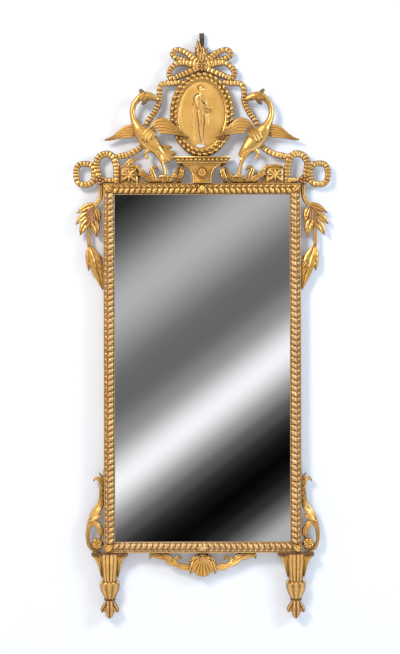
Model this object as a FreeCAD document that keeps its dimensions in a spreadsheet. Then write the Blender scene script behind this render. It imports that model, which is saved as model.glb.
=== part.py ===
"""A carved giltwood wall mirror with a crest of two birds, a medallion and ribbons, in millimetres.

The origin is the axis of the hanging eye above the crest. The front faces -Y and every carved piece
has its flat back in one plane. Depths are measured from that plane towards the front.
"""
import FreeCAD, Part
import math
import os
import re
import Sketcher
from FreeCAD import Rotation, Vector

os.makedirs("parts", exist_ok=True)
doc = FreeCAD.newDocument("wall_mirror")

# Driving dimensions
SIZES = {
    "sight_width": 507, "sight_height": 1004,
    "rail_width": 32, "rail_depth": 22, "rebate_width": 8,
    "plate_thickness": 4, "plate_clearance": 3, "block_length": 40, "block_inset": 120,
    "board_thickness": 11.7, "board_clearance": 0.3, "board_side_gap": 1,
    "rope_width": 22, "corner_leaf_depth": 12,
    "eye_radius": 4, "strap_thickness": 3, "strap_width": 14, "strap_tail": 22, "eye_rise": 108,
    "screw_radius": 2, "screw_length": 12, "head_radius": 3.8, "head_height": 2.2,
    "running_clearance": 0.05, "wood_gap": 0.3,
    "button_reach": 20, "button_heel": 8, "button_width": 14, "button_thickness": 3, "button_inset": 220,
    "ring_drop": 150, "ring_radius": 12, "ring_wire": 1.75, "knuckle_wall": 1.7, "knuckle_length": 16,
    "ring_plate_length": 48, "ring_plate_thickness": 2,
    "dowel_radius": 4, "dowel_half": 15, "dowel_depth": 15.5,
    "plinth_height": 77, "plinth_depth": 34, "plinth_foot": 27, "plinth_neck": 56, "plinth_neck_height": 7,
    "cornice_height": 20, "cornice_half": 83, "cornice_step": 9, "cornice_depth": 38,
    "plinth_rosette_margin": 8, "plinth_rosette_gap": 2, "plinth_rosette_depth": 6,
    "bracket_width": 16, "bracket_depth": 24,
    "panel_half_width": 67.5, "panel_half_height": 97, "panel_back": 3, "panel_depth": 11,
    "medallion_band": 26, "medallion_depth": 24, "figure_relief": 4.5,
    "rosette_radius": 17.5, "rosette_depth": 20, "rosette_round": 5,
    "bow_back": 4, "bow_depth": 10, "ribbon_back": 6, "ribbon_depth": 8, "ribbon_width": 14.5,
    "finial_back": 2, "finial_depth": 14,
    "bird_middle": 18, "bird_half_depth": 16, "wing_depth": 14, "outer_wing_back": 8,
    "block_width": 50, "block_height": 54, "block_slope": 24, "block_offset": 49.5, "block_depth": 28,
    "knot_radius": 13, "knot_depth": 16, "loop_half_width": 27, "loop_half_height": 31.3,
    "acanthus_depth": 26, "acanthus_gap": 7, "acanthus_base": 36, "acanthus_curl": 51,
    "spray_back": 4, "spray_depth": 12, "stem_width": 7,
    "scroll_back": 2, "scroll_depth": 18, "scroll_width": 13.3, "scroll_rosette_radius": 17.5,
    "foot_height": 191, "foot_half_width": 53, "foot_depth": 40, "flange_height": 6,
    "shell_half_width": 41, "shell_height": 73, "shell_depth": 26, "shell_neck": 16,
    "apron_back": 2, "apron_depth": 16, "apron_width": 14, "apron_reach": 152, "apron_drop": 43,
}
sheet = doc.addObject("Spreadsheet::Sheet", "Size")
for row, (alias, number) in enumerate(SIZES.items(), 1):
    sheet.set(f"A{row}", alias)
    sheet.set(f"B{row}", str(number))
    sheet.setAlias(f"B{row}", alias)
doc.recompute()


def bound(text):
    """The expression with each size's name written as a cell of the sheet."""
    return re.sub(r"[a-z_]{3,}", lambda name: "Size." + name.group(), text)


def value(text):
    return float(sheet.evalExpression(bound(text)))


# Places that several pieces share
FRAME_HALF = "(sight_width / 2 + rail_width)"
STILE_MIDDLE = "(sight_width / 2 + rail_width / 2)"
BACK_MIDDLE = "(sight_width / 2 + rail_width / 2 + rebate_width / 2)"
FRAME_HEIGHT = "(sight_height + 2 * rail_width)"
REBATE_DEPTH = "(plate_thickness + board_thickness + board_clearance)"
MEDALLION_HALF_WIDTH = "(panel_half_width + medallion_band)"
MEDALLION_HALF_HEIGHT = "(panel_half_height + medallion_band)"
MEDALLION_MIDDLE = f"(plinth_height + {MEDALLION_HALF_HEIGHT})"
MEDALLION_TOP = f"(plinth_height + 2 * {MEDALLION_HALF_HEIGHT})"
BOW_HEIGHT = f"({MEDALLION_TOP} + rosette_radius)"
BACK = "-(eye_radius + strap_thickness)"
FRAME_TOP = f"-({MEDALLION_TOP} + eye_rise)"
FRAME_BOTTOM = f"({FRAME_TOP} - {FRAME_HEIGHT})"
CREST = ("0", FRAME_TOP)
CORNER = (FRAME_HALF, FRAME_TOP)
BOW = ("0", f"{FRAME_TOP} + {BOW_HEIGHT}")
MEDALLION = ("0", f"{FRAME_TOP} + {MEDALLION_MIDDLE}")
BOTTOM = ("0", FRAME_BOTTOM)
BOTTOM_CORNER = (FRAME_HALF, FRAME_BOTTOM)
FOOT = (STILE_MIDDLE, FRAME_BOTTOM)


# Documents, bodies and booleans
def bind(obj, name, text):
    obj.setExpression(name, bound(text))


def place(obj, across, up, back=BACK):
    bind(obj, "Placement.Base.x", across)
    bind(obj, "Placement.Base.y", back)
    bind(obj, "Placement.Base.z", up)


def sketch_in(body, name, depth="0", role="XZ_Plane"):
    """A sketch in one of the body's origin planes; in the XZ plane, depth moves it to the front."""
    sketch = body.newObject("Sketcher::SketchObject", name)
    plane = next(item for item in body.Origin.OriginFeatures if item.Role == role)
    sketch.AttachmentSupport = [(plane, "")]
    sketch.MapMode = "FlatFace"
    bind(sketch, "AttachmentOffset.Base.z", depth)
    return sketch


def bound_polygon(sketch, corners):
    """A closed outline of lines whose every corner is tied to the sheet."""
    numbers = [(value(across), value(up)) for across, up in corners]
    count = len(corners)
    for index, (across, up) in enumerate(numbers):
        ahead = numbers[(index + 1) % count]
        sketch.addGeometry(Part.LineSegment(Vector(across, up, 0), Vector(*ahead, 0)), False)
    for index in range(count):
        sketch.addConstraint(Sketcher.Constraint("Coincident", index, 2, (index + 1) % count, 1))
    for index, corner in enumerate(corners):
        for kind, axis, text in (("DistanceX", -2, corner[0]), ("DistanceY", -1, corner[1])):
            if text == "0":
                sketch.addConstraint(Sketcher.Constraint("PointOnObject", index, 1, axis))
                continue
            number = sketch.addConstraint(Sketcher.Constraint(kind, -1, 1, index, 1, value(text)))
            bind(sketch, f"Constraints[{number}]", text)


def bound_circle(sketch, radius):
    """A circle about the body's own middle."""
    ring = sketch.addGeometry(Part.Circle(Vector(0, 0, 0), Vector(0, 0, 1), value(radius)), False)
    sketch.addConstraint(Sketcher.Constraint("Coincident", ring, 3, -1, 1))
    number = sketch.addConstraint(Sketcher.Constraint("Radius", ring, value(radius)))
    bind(sketch, f"Constraints[{number}]", radius)


def pad(body, sketch, length):
    feature = body.newObject("PartDesign::Pad", sketch.Name + "_pad")
    feature.Profile = sketch
    bind(feature, "Length", length)
    return feature


def pocket(body, sketch, length):
    """A cut from the sketch towards the front."""
    feature = body.newObject("PartDesign::Pocket", sketch.Name + "_pocket")
    feature.Profile = sketch
    feature.Reversed = True
    bind(feature, "Length", length)
    return feature


def new_body(label, where, back=BACK):
    body = doc.addObject("PartDesign::Body", label)
    body.Label = label
    place(body, *where, back)
    return body


def carving(label, outlines, where, start, depth):
    """A flat-backed carving: each closed outline is a sketch of its own, padded to the front."""
    body = new_body(label, where)
    for number, outline in enumerate(outlines, 1):
        sketch = sketch_in(body, f"{label}_outline_{number}", start)
        sketch.addGeometry(outline, False)
        pad(body, sketch, depth)
    return body


def plate_body(label, corners, where, start, depth):
    """A flat piece whose outline is tied to the sheet corner by corner."""
    body = new_body(label, where)
    sketch = sketch_in(body, label + "_outline", start)
    bound_polygon(sketch, corners)
    pad(body, sketch, depth)
    return body


def box(label, sizes, corner):
    piece = doc.addObject("Part::Box", label)
    piece.Label = label
    for name, text in zip(("Length", "Width", "Height"), sizes):
        bind(piece, name, text)
    for axis, text in zip("xyz", corner):
        bind(piece, f"Placement.Base.{axis}", text)
    return piece


def rod(label, radius, length, start, direction):
    """A cylinder from its start point along X, Y or Z."""
    piece = doc.addObject("Part::Cylinder", label)
    piece.Label = label
    bind(piece, "Radius", radius)
    bind(piece, "Height", length)
    piece.Placement.Rotation = Rotation(Vector(0, 0, 1), Vector(*direction))
    for axis, text in zip("xyz", start):
        bind(piece, f"Placement.Base.{axis}", text)
    return piece


def joined(label, pieces):
    fused = doc.addObject("Part::MultiFuse", label)
    fused.Label = label
    fused.Shapes = pieces
    return fused


def group(label, pieces):
    """Several separate solids of one kind in one node."""
    together = doc.addObject("Part::Compound", label)
    together.Label = label
    together.Links = pieces
    return together


def trimmed(label, piece, *tools):
    """The piece with the room that each tool takes up cut out of it."""
    for number, tool in enumerate(tools, 1):
        cut = doc.addObject("Part::Cut", f"{label}_trim_{number}")
        cut.Base = piece
        cut.Tool = tool
        piece = cut
    piece.Label = label
    return piece


def other_side(label, piece):
    copy = doc.addObject("Part::Mirroring", label)
    copy.Label = label
    copy.Source = piece
    copy.Normal = Vector(1, 0, 0)
    return copy


# Outlines of carved pieces, in the plane of the frame
def flat(points):
    return [Vector(across, up, 0) for across, up in points]


def curve(points):
    spline = Part.BSplineCurve()
    spline.interpolate(flat(points))
    return spline


def line(start, end):
    return Part.LineSegment(*flat((start, end)))


def circle(middle, radius):
    return [Part.Circle(Vector(*middle, 0), Vector(0, 0, 1), radius)]


def band(points, width):
    """A ribbon of even width along a smooth line through the points."""
    middle = curve(points)
    left, right = [], []
    for point in flat(points):
        ahead = middle.tangent(middle.parameter(point))[0]
        aside = Vector(-ahead.y, ahead.x, 0) * (width / 2)
        left.append((point + aside)[:2])
        right.append((point - aside)[:2])
    return [curve(left), line(left[-1], right[-1]), curve(right[::-1]), line(right[0], left[0])]


def leaf(base, tip, width):
    """A pointed leaf between two arcs."""
    start, end = flat((base, tip))
    along = end - start
    aside = Vector(-along.y, along.x, 0).normalize() * (width / 2)
    middle = start + along * 0.5
    return [Part.Arc(start, middle + aside, end), Part.Arc(end, middle - aside, start)]


def ring_loop(middle, half_width, half_height, width):
    """A closed ribbon loop, rounder than a square."""
    def side(grow):
        points = []
        for step in range(24):
            turn = 2 * math.pi * step / 24
            squareness = (abs(math.cos(turn)) ** 3 + abs(math.sin(turn)) ** 3) ** (-1 / 3)
            points.append(Vector(middle[0] + (half_width + grow) * squareness * math.cos(turn),
                                 middle[1] + (half_height + grow) * squareness * math.sin(turn), 0))
        spline = Part.BSplineCurve()
        spline.interpolate(points, PeriodicFlag=True)
        return spline
    return [side(width / 2), side(-width / 2)]


def edged(*runs):
    """A closed outline of smooth runs that meet at sharp corners."""
    edges = []
    for number, run in enumerate(runs):
        edges.append(curve(run) if len(run) > 2 else line(*run))
        ahead = runs[(number + 1) % len(runs)]
        if run[-1] != ahead[0]:
            edges.append(line(run[-1], ahead[0]))
    return edges


def oval(half_width, half_height):
    return Part.Ellipse(Vector(0, half_height, 0), Vector(half_width, 0, 0), Vector(0, 0, 0))


# Rails and stiles, half-lapped at the corners and rebated for the glass
def make_bar(label, length, across, where, rebate, laps, lap_start):
    bar = plate_body(label, [("0", "0"), (length, "0"), (length, across), ("0", across)], where, "0",
                     "rail_depth")
    cut = sketch_in(bar, label + "_rebate")
    bound_polygon(cut, rebate)
    pocket(bar, cut, REBATE_DEPTH)
    for number, lap in enumerate(laps, 1):
        cut = sketch_in(bar, f"{label}_lap_{number}", lap_start)
        bound_polygon(cut, lap)
        pocket(bar, cut, "rail_depth / 2")
    return bar


def rectangle(left, low, right, high):
    return [(left, low), (right, low), (right, high), (left, high)]


frame_width = f"(2 * {FRAME_HALF})"
inner_end = f"({frame_width} - rail_width)"
upper_end = f"({FRAME_HEIGHT} - rail_width)"
rebate_long = "(rail_width - rebate_width)"
far_rebate = f"({frame_width} - {rebate_long})"
high_rebate = f"({FRAME_HEIGHT} - {rebate_long})"
rail_laps = [rectangle("0", "0", "rail_width", "rail_width"),
             rectangle(inner_end, "0", frame_width, "rail_width")]
stile_laps = [rectangle("0", "0", "rail_width", "rail_width"),
              rectangle("0", upper_end, "rail_width", FRAME_HEIGHT)]
top_rail_blank = make_bar("top_rail_blank", frame_width, "rail_width",
                          (f"-{FRAME_HALF}", f"{FRAME_TOP} - rail_width"),
                          rectangle(rebate_long, "0", far_rebate, "rebate_width"), rail_laps, "0")
bottom_rail_blank = make_bar("bottom_rail_blank", frame_width, "rail_width",
                             (f"-{FRAME_HALF}", FRAME_BOTTOM),
                             rectangle(rebate_long, rebate_long, far_rebate, "rail_width"), rail_laps, "0")
right_stile_blank = make_bar("right_stile_blank", "rail_width", FRAME_HEIGHT,
                             ("sight_width / 2", FRAME_BOTTOM),
                             rectangle("0", rebate_long, "rebate_width", high_rebate), stile_laps,
                             "rail_depth / 2")
left_stile_blank = other_side("left_stile_blank", right_stile_blank)


# Twisted-rope moulding and the leaf blocks at its corners
def make_rope(label, length, where, role):
    """A half-round length on the front of a rail, from one corner block to the next."""
    body = new_body(label, where, f"{BACK} - rail_depth")
    profile = sketch_in(body, label + "_profile", "0", role)
    half = value("rope_width / 2")
    if role == "YZ_Plane":
        ends, crown = [(0, half), (0, -half)], (-half, 0)
    else:
        ends, crown = [(half, 0), (-half, 0)], (0, -half)
    start, top, end = flat((ends[0], crown, ends[1]))
    profile.addGeometry([Part.Arc(start, top, end), Part.LineSegment(end, start)], False)
    pad(body, profile, length)
    return body


rope_across = "(sight_width + rail_width - rope_width)"
rope_up = "(sight_height + rail_width - rope_width)"
top_line = f"({FRAME_TOP} - rail_width / 2)"
bottom_line = f"({FRAME_BOTTOM} + rail_width / 2)"
make_rope("rope_moulding_top", rope_across, (f"-{rope_across} / 2", top_line), "YZ_Plane")
make_rope("rope_moulding_bottom", rope_across, (f"-{rope_across} / 2", bottom_line), "YZ_Plane")
rope_low = f"{bottom_line} + rope_width / 2"
make_rope("rope_moulding_right", rope_up, (STILE_MIDDLE, rope_low), "XY_Plane")
make_rope("rope_moulding_left", rope_up, (f"-{STILE_MIDDLE}", rope_low), "XY_Plane")
corner_blocks = []
corner_leaf = ("rope_width", "corner_leaf_depth", "rope_width")
corner_front = f"{BACK} - rail_depth - corner_leaf_depth"
for side, across in (("left", f"-{STILE_MIDDLE}"), ("right", STILE_MIDDLE)):
    for level, up in (("low", bottom_line), ("high", top_line)):
        corner_blocks.append(box(f"corner_leaf_{side}_{level}", corner_leaf,
                                 (f"{across} - rope_width / 2", corner_front, f"{up} - rope_width / 2")))
group("corner_leaves", corner_blocks)

# Mirror plate, its blocks and the backboards
sight_top = f"({FRAME_TOP} - rail_width)"
sight_bottom = f"({FRAME_BOTTOM} + rail_width)"
plate_grow = "(rebate_width - plate_clearance)"
plate_front = f"({BACK} - {REBATE_DEPTH})"
plate_edge = f"(sight_width / 2 + {plate_grow})"
box("mirror_plate", (f"2 * {plate_edge}", "plate_thickness", f"sight_height + 2 * {plate_grow}"),
    (f"-{plate_edge}", plate_front, f"{sight_bottom} - {plate_grow}"))
wedges = []
upright_wedge = ("plate_clearance", "plate_thickness", "block_length")
for side, across in (("left", "-(sight_width / 2 + rebate_width)"), ("right", plate_edge)):
    for level, up in (("low", f"{sight_bottom} + block_inset"), ("high", f"{sight_top} - block_inset")):
        wedges.append(box(f"wedge_{side}_{level}", upright_wedge,
                          (across, plate_front, f"{up} - block_length / 2")))
level_wedge = ("block_length", "plate_thickness", "plate_clearance")
wedge_line = "(sight_width / 2 - block_inset)"
for level, up in (("low", f"{sight_bottom} - rebate_width"), ("high", f"{sight_top} + {plate_grow}")):
    for side, across in (("left", f"-{wedge_line}"), ("right", wedge_line)):
        wedges.append(box(f"wedge_{level}_{side}", level_wedge,
                          (f"{across} - block_length / 2", plate_front, up)))
group("glazing_blocks", wedges)
boards_width = "(sight_width + 2 * (rebate_width - board_side_gap))"
boards_height = "(sight_height + 2 * (rebate_width - board_side_gap))"
for number, side in enumerate(("left", "middle", "right")):
    box(f"backboard_{side}", (f"{boards_width} / 3", "board_thickness", boards_height),
        (f"{boards_width} * ({number} / 3 - 0.5)", f"{plate_front} + plate_thickness",
         f"{sight_bottom} - rebate_width + board_side_gap"))

# Screws, each with its pilot hole
screws = []
drills = {}


def add_screw(name, across, up, seat, *woods):
    """A round-headed wood screw whose head sits at a height behind the back plane."""
    start = (across, f"{BACK} + {seat}", up)
    shank = rod(name + "_shank", "screw_radius", f"screw_length + {seat}", start, (0, -1, 0))
    head = rod(name + "_head", "head_radius", "head_height", start, (0, 1, 0))
    screws.append(joined(name, [shank, head]))
    drill = rod(name + "_drill", "screw_radius + running_clearance", f"screw_length + {seat} + wood_gap",
                start, (0, -1, 0))
    for wood in woods:
        drills.setdefault(wood, []).append(drill)


# Turn buttons that hold the backboards in
button_seat = "(button_thickness + 2 * wood_gap)"
button_lines = (("upper", f"{sight_top} - button_inset"), ("lower", f"{sight_bottom} + button_inset"))
for side, sign, turn in (("left", "-", 0), ("right", "", 180)):
    for level, up in button_lines:
        label = f"turn_button_{side}_{level}"
        button = new_body(label, (sign + BACK_MIDDLE, up))
        outline = sketch_in(button, label + "_outline", "-(button_thickness + wood_gap)")
        half = value("button_width / 2")
        reach = value("button_reach") - half
        heel = value("button_heel") - half
        low, high = [(-heel, -half), (reach, -half)], [(reach, half), (-heel, half)]
        toe_arc = Part.Arc(*flat((low[1], (reach + half, 0), high[0])))
        heel_arc = Part.Arc(*flat((high[1], (-heel - half, 0), low[0])))
        outline.addGeometry([line(*low), toe_arc, line(*high), heel_arc], False)
        bound_circle(outline, "screw_radius + running_clearance")
        pad(button, outline, "button_thickness")
        button.Placement.Rotation = Rotation(Vector(0, 1, 0), turn)
        add_screw(f"button_screw_{side}_{level}", sign + BACK_MIDDLE, up, button_seat, f"{side}_stile")

# Hanger strap with its rolled eye, up the back of the crest
strap_bar = box("strap_bar", ("strap_width", "strap_thickness", f"-({FRAME_TOP}) + strap_tail"),
                ("-strap_width / 2", BACK, f"{FRAME_TOP} - strap_tail"))
eye_start = ("-strap_width / 2", "0", "0")
eye_roll = rod("eye_roll", "eye_radius + strap_thickness", "strap_width", eye_start, (1, 0, 0))
eye_bore = rod("eye_bore", "eye_radius", "strap_width", eye_start, (1, 0, 0))
strap_blank = trimmed("strap_blank", joined("strap_roll", [strap_bar, eye_roll]), eye_bore)
plinth_screw = "(plinth_height - cornice_height - plinth_neck_height * 2)"
strap_screws = (("rail", "-strap_tail / 2", "top_rail"),
                ("plinth_low", "plinth_neck_height * 2", "plinth_body"),
                ("plinth_high", plinth_screw, "plinth_body"),
                ("oval_low", "plinth_height + medallion_band / 2", "medallion_bead_frame"),
                ("oval_high", f"{MEDALLION_TOP} - medallion_band / 2", "medallion_bead_frame"),
                ("bow", BOW_HEIGHT, "bow_rosette"))
for name, height, wood in strap_screws:
    add_screw(f"strap_screw_{name}", "0", f"{FRAME_TOP} + {height}", "strap_thickness", wood,
              "hanger_strap")

# Ring plates and the hanging rings that turn in their knuckles
ring_line = f"({FRAME_TOP} - ring_drop)"
bore_radius = "(ring_wire + running_clearance)"
knuckle_radius = f"({bore_radius} + knuckle_wall)"
ring_axis = f"({BACK} + ring_plate_thickness + ring_wire + wood_gap)"
for side, sign in (("left", "-"), ("right", "")):
    middle = sign + BACK_MIDDLE
    knuckle_start = (f"{middle} - knuckle_length / 2", ring_axis, ring_line)
    plate = box(f"ring_plate_flat_{side}",
                ("knuckle_length", "ring_plate_thickness", "ring_plate_length"),
                (f"{middle} - knuckle_length / 2", BACK, f"{ring_line} - ring_plate_length"))
    knuckle = rod(f"ring_knuckle_{side}", knuckle_radius, "knuckle_length", knuckle_start, (1, 0, 0))
    bore = rod(f"ring_bore_{side}", bore_radius, "knuckle_length", knuckle_start, (1, 0, 0))
    rolled = trimmed(f"ring_plate_blank_{side}", joined(f"ring_plate_roll_{side}", [plate, knuckle]), bore)
    for number, drop in enumerate(("(ring_radius * 2)", "(ring_plate_length - head_radius * 2)")):
        add_screw(f"ring_screw_{side}_{number}", middle, f"{ring_line} - {drop}", "ring_plate_thickness",
                  f"{side}_stile", f"ring_plate_{side}")
    plate_drills = group(f"ring_plate_drills_{side}", drills[f"ring_plate_{side}"])
    trimmed(f"ring_plate_{side}", rolled, plate_drills)
    bow_half = doc.addObject("Part::Torus", f"ring_bow_{side}")
    bind(bow_half, "Radius1", "ring_radius")
    bind(bow_half, "Radius2", "ring_wire")
    bow_half.Angle3 = 180
    bow_half.Placement.Rotation = Rotation(Vector(1, 0, 0), -90)
    for axis, text in zip("xyz", (middle, ring_axis, ring_line)):
        bind(bow_half, f"Placement.Base.{axis}", text)
    ring_pin = rod(f"ring_pin_{side}", "ring_wire", "2 * (ring_radius + ring_wire)",
                   (f"{middle} - ring_radius - ring_wire", ring_axis, ring_line), (1, 0, 0))
    joined(f"hanging_ring_{side}", [bow_half, ring_pin])

# Plinth under the medallion
cornice_low = "(plinth_height - cornice_height)"
plinth_cornice = plate_body("plinth_cornice",
                            [("-(cornice_half - cornice_step)", cornice_low),
                             ("cornice_half - cornice_step", cornice_low),
                             ("cornice_half", "plinth_height"), ("-cornice_half", "plinth_height")],
                            CREST, "0", "cornice_depth")
plinth_foot, plinth_neck = value("plinth_foot"), value("plinth_neck")
neck_low, neck_high = value(f"{cornice_low} - plinth_neck_height"), value(cornice_low)
waist = neck_low * 0.4
flare = plinth_foot + 0.6 * (plinth_neck - plinth_foot)
plinth_side = [(plinth_foot, 0), (plinth_foot + 1.5, waist), (flare, neck_low), (plinth_neck, neck_low)]
plinth_body_blank = carving("plinth_body_blank",
                            [edged([(-plinth_foot, 0), (plinth_foot, 0)], plinth_side[:3], plinth_side[2:],
                                   [(plinth_neck, neck_high), (-plinth_neck, neck_high)],
                                   [(-across, up) for across, up in plinth_side[:1:-1]],
                                   [(-across, up) for across, up in plinth_side[2::-1]])],
                            CREST, "0", "plinth_depth")
plinth_face = f"({cornice_low} - plinth_neck_height)"
plinth_rosette_radius = f"({plinth_face} / 2 - plinth_rosette_margin)"
plinth_rosette_height = f"({plinth_face} - plinth_rosette_gap - {plinth_rosette_radius})"
plinth_rosette = new_body("plinth_rosette", ("0", f"{FRAME_TOP} + {plinth_rosette_height}"))
rosette_disc = sketch_in(plinth_rosette, "plinth_rosette_disc", "plinth_depth")
bound_circle(rosette_disc, plinth_rosette_radius)
pad(plinth_rosette, rosette_disc, "plinth_rosette_depth")
bracket_line = value("plinth_neck + bracket_width / 2")
bracket_sway = value("bracket_width") / 4
bracket = [(bracket_line - bracket_sway, neck_high + bracket_sway),
           (bracket_line - bracket_sway, neck_low * 0.88), (bracket_line - bracket_sway, neck_low * 0.62),
           (bracket_line, neck_low * 0.32), (bracket_line + bracket_sway, -1)]
bracket_blank = carving("bracket_blank", [band(bracket, value("bracket_width"))], CREST, "0",
                        "bracket_depth")
plinth_bracket_right = trimmed("plinth_bracket_right", bracket_blank, plinth_body_blank, plinth_cornice,
                               top_rail_blank)
other_side("plinth_bracket_left", plinth_bracket_right)

# Medallion: oval panel, its carved frame and the relief figure
panel_half_width, panel_half_height = value("panel_half_width"), value("panel_half_height")
medallion_blank = carving("medallion_blank",
                          [[oval(value(MEDALLION_HALF_WIDTH), value(MEDALLION_HALF_HEIGHT)),
                            oval(panel_half_width, panel_half_height)]],
                          MEDALLION, "0", "medallion_depth")
panel_gap = value("running_clearance")
carving("medallion_panel", [[oval(panel_half_width - panel_gap, panel_half_height - panel_gap)]],
        MEDALLION, "panel_back", "panel_depth")
robe = edged([(-7, 61), (-18, 52), (-20, 30), (-15, 12), (-23, -12), (-25, -45), (-29, -80)],
             [(-29, -80), (-8, -84), (16, -80)],
             [(16, -80), (12, -52), (13, -24), (6, 4), (10, 28), (7, 50), (-1, 61)])
head = [Part.Ellipse(Vector(-2, 85, 0), Vector(6, 73, 0), Vector(-2, 73, 0))]
neck = band([(-5, 55), (-4, 60), (-3, 66)], 10)
arm = band([(0, 48), (11, 33), (19, 24), (30, 27), (40, 34)], 8)
carving("medallion_figure", [robe, neck, head, arm], MEDALLION, "panel_back + panel_depth", "figure_relief")

# Bow, its rosette and the leaf finial
bow_rosette_body = new_body("bow_rosette_blank", BOW)
bow_disc = sketch_in(bow_rosette_body, "bow_disc")
bound_circle(bow_disc, "rosette_radius")
bow_pad = pad(bow_rosette_body, bow_disc, "rosette_depth")
doc.recompute()
bow_edges = bow_pad.Shape.Edges
front_edge = min(range(len(bow_edges)), key=lambda item: bow_edges[item].CenterOfMass.y)
bow_round = bow_rosette_body.newObject("PartDesign::Fillet", "bow_round")
bow_round.Base = (bow_pad, [f"Edge{front_edge + 1}"])
bind(bow_round, "Radius", "rosette_round")
ribbon_width = value("ribbon_width")
upper_out = [(8, 10), (19, 19), (37.8, 37), (60.2, 48), (75, 48.5), (83.5, 39.7), (82, 29)]
upper_back = [(85, 35), (79, 26), (70, 20.5), (45.4, 13), (10, 4)]
lower_out = [(10, 3), (41.6, 10), (67.4, 9), (87.7, -4.7), (95.3, -23.2), (93, -37)]
lower_back = [(97, -31), (88, -36.5), (75, -34.2), (52.6, -23.2), (30.6, -14), (10, -5)]
bow_bands = [band(route, ribbon_width) for route in (upper_out, upper_back, lower_out, lower_back)]
bow_blank = carving("bow_blank", bow_bands, BOW, "bow_back", "bow_depth")
bow_right = trimmed("bow_right", bow_blank, bow_rosette_body, medallion_blank)
bow_left = other_side("bow_left", bow_right)
finial_root = (0, 8)
finial_leaves = [((-14, 77.5), 25), ((6, 62), 22), ((17, 52.5), 18), ((-20, 44), 16), ((21, 37), 12)]
finial_blank = carving("finial_blank", [leaf(finial_root, tip, width) for tip, width in finial_leaves],
                       BOW, "finial_back", "finial_depth")
trimmed("leaf_finial", finial_blank, bow_rosette_body, bow_right, bow_left)


# Birds, built as lofts through ovals square to a line in the plane of the frame
def limb(sections):
    """A rounded limb through (across, up, half width) sections, a little flatter than round."""
    flatness = 0.98
    points = [Vector(across, 0, up) for across, up, _ in sections]
    wires = []
    for number, (point, section) in enumerate(zip(points, sections)):
        ahead = points[min(number + 1, len(points) - 1)] - points[max(number - 1, 0)]
        aside = Vector(-ahead.z, 0, ahead.x).normalize()
        front = Vector(0, min(flatness * section[2], value("bird_half_depth")), 0)
        wires.append(Part.Wire(Part.Ellipse(point + aside * section[2], point + front, point).toShape()))
    return Part.makeLoft(wires, True)


trunk = [(109, 81, 6), (117, 88.5, 11), (128, 99.5, 17), (142, 113, 24), (160, 131, 25.5), (176, 149, 22),
         (187, 165, 15.5), (196, 182, 10), (200.5, 200, 8.2), (200, 217, 7.8), (194, 233, 8), (183, 245, 9)]
head_line = [(190, 238, 7), (181, 247, 9.5), (170, 251.5, 12), (158, 252, 12.5), (147, 250, 10),
             (138, 247, 6.5), (128, 243.5, 4.5), (115, 240, 2)]
leg = [(124, 92, 12), (118, 74, 8), (112, 52, 4.5), (107.5, 30, 4.2), (106.5, 18, 6)]
claw = [(148, 104, 9), (158, 93, 6), (162, 84, 4), (158, 75, 2.5)]
horn = [(168, 256, 6), (174, 264, 4), (178, 276, 1.5)]
wattle = [(163, 248, 6), (168, 238, 5), (172, 228, 2.5)]
tail_feathers = [[(126, 98, 9), (104, 103, 6), (86, 106, 1.5)], [(126, 97, 9), (98, 90, 7), (74, 83, 1.5)],
                 [(124, 95, 9), (104, 81, 7), (88, 69, 1.5)], [(122, 94, 9), (108, 77, 6), (97, 61, 1.5)]]


def make_bird(label, limbs, side):
    """One bird from its trunk and limbs; side is 1 on the right of the crest and -1 on the left."""
    bird = doc.addObject("Part::Feature", label)
    bird.Label = label
    solids = [limb([(side * across, up, half) for across, up, half in sections]) for sections in limbs]
    bird.Shape = solids[0].fuse(solids[1:]).removeSplitter()
    place(bird, *CREST, f"{BACK} - bird_middle")
    return bird


bird_limbs = [trunk, head_line, leg, claw, horn, wattle]
bird_right = make_bird("bird_right", bird_limbs, 1)
make_bird("bird_left", bird_limbs + tail_feathers, -1)
outer_wing = edged([(186, 170), (206, 171.5), (222, 167), (236, 158), (251, 144.5), (265, 134.5), (282.5, 127)],
                   [(282.5, 127), (264, 124), (244, 128.5), (222, 132), (186, 133)])
outer_wing_blank = carving("outer_wing_blank", [outer_wing], CREST, "outer_wing_back", "wing_depth")
outer_wing_right = trimmed("outer_wing_right", outer_wing_blank, bird_right)
other_side("outer_wing_left", outer_wing_right)
inner_wing = edged([(170, 129), (154, 155), (133, 181), (112.4, 189.7), (96.7, 183.3), (81.3, 170.5),
                    (50.3, 145), (37.3, 132)],
                   [(37.3, 132), (71, 144), (107, 147), (133, 144.5), (149, 131), (158, 122)])
inner_wing_blank = carving("inner_wing_blank", [inner_wing], CREST,
                           "medallion_depth + running_clearance", "wing_depth")
inner_wing_right = trimmed("inner_wing_right", inner_wing_blank, bird_right)
other_side("inner_wing_left", inner_wing_right)

# Streamers from the bow to the birds
bow_height = value(BOW_HEIGHT)
streamer = [(across, bow_height + up) for across, up in
            ((60, -46.5), (89.8, -50.2), (109, -50.5), (121.5, -58.5), (124.8, -77))]
streamer += [(122.8, 245.3), (128.6, 225), (139.6, 204.7), (154.4, 184.2), (163, 168)]
streamer_blank = carving("streamer_blank", [band(streamer, ribbon_width)], CREST, "ribbon_back",
                         "ribbon_depth")
upper_ribbon_right = trimmed("upper_ribbon_right", streamer_blank, bow_right, medallion_blank, bird_right)
other_side("upper_ribbon_left", upper_ribbon_right)

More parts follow.
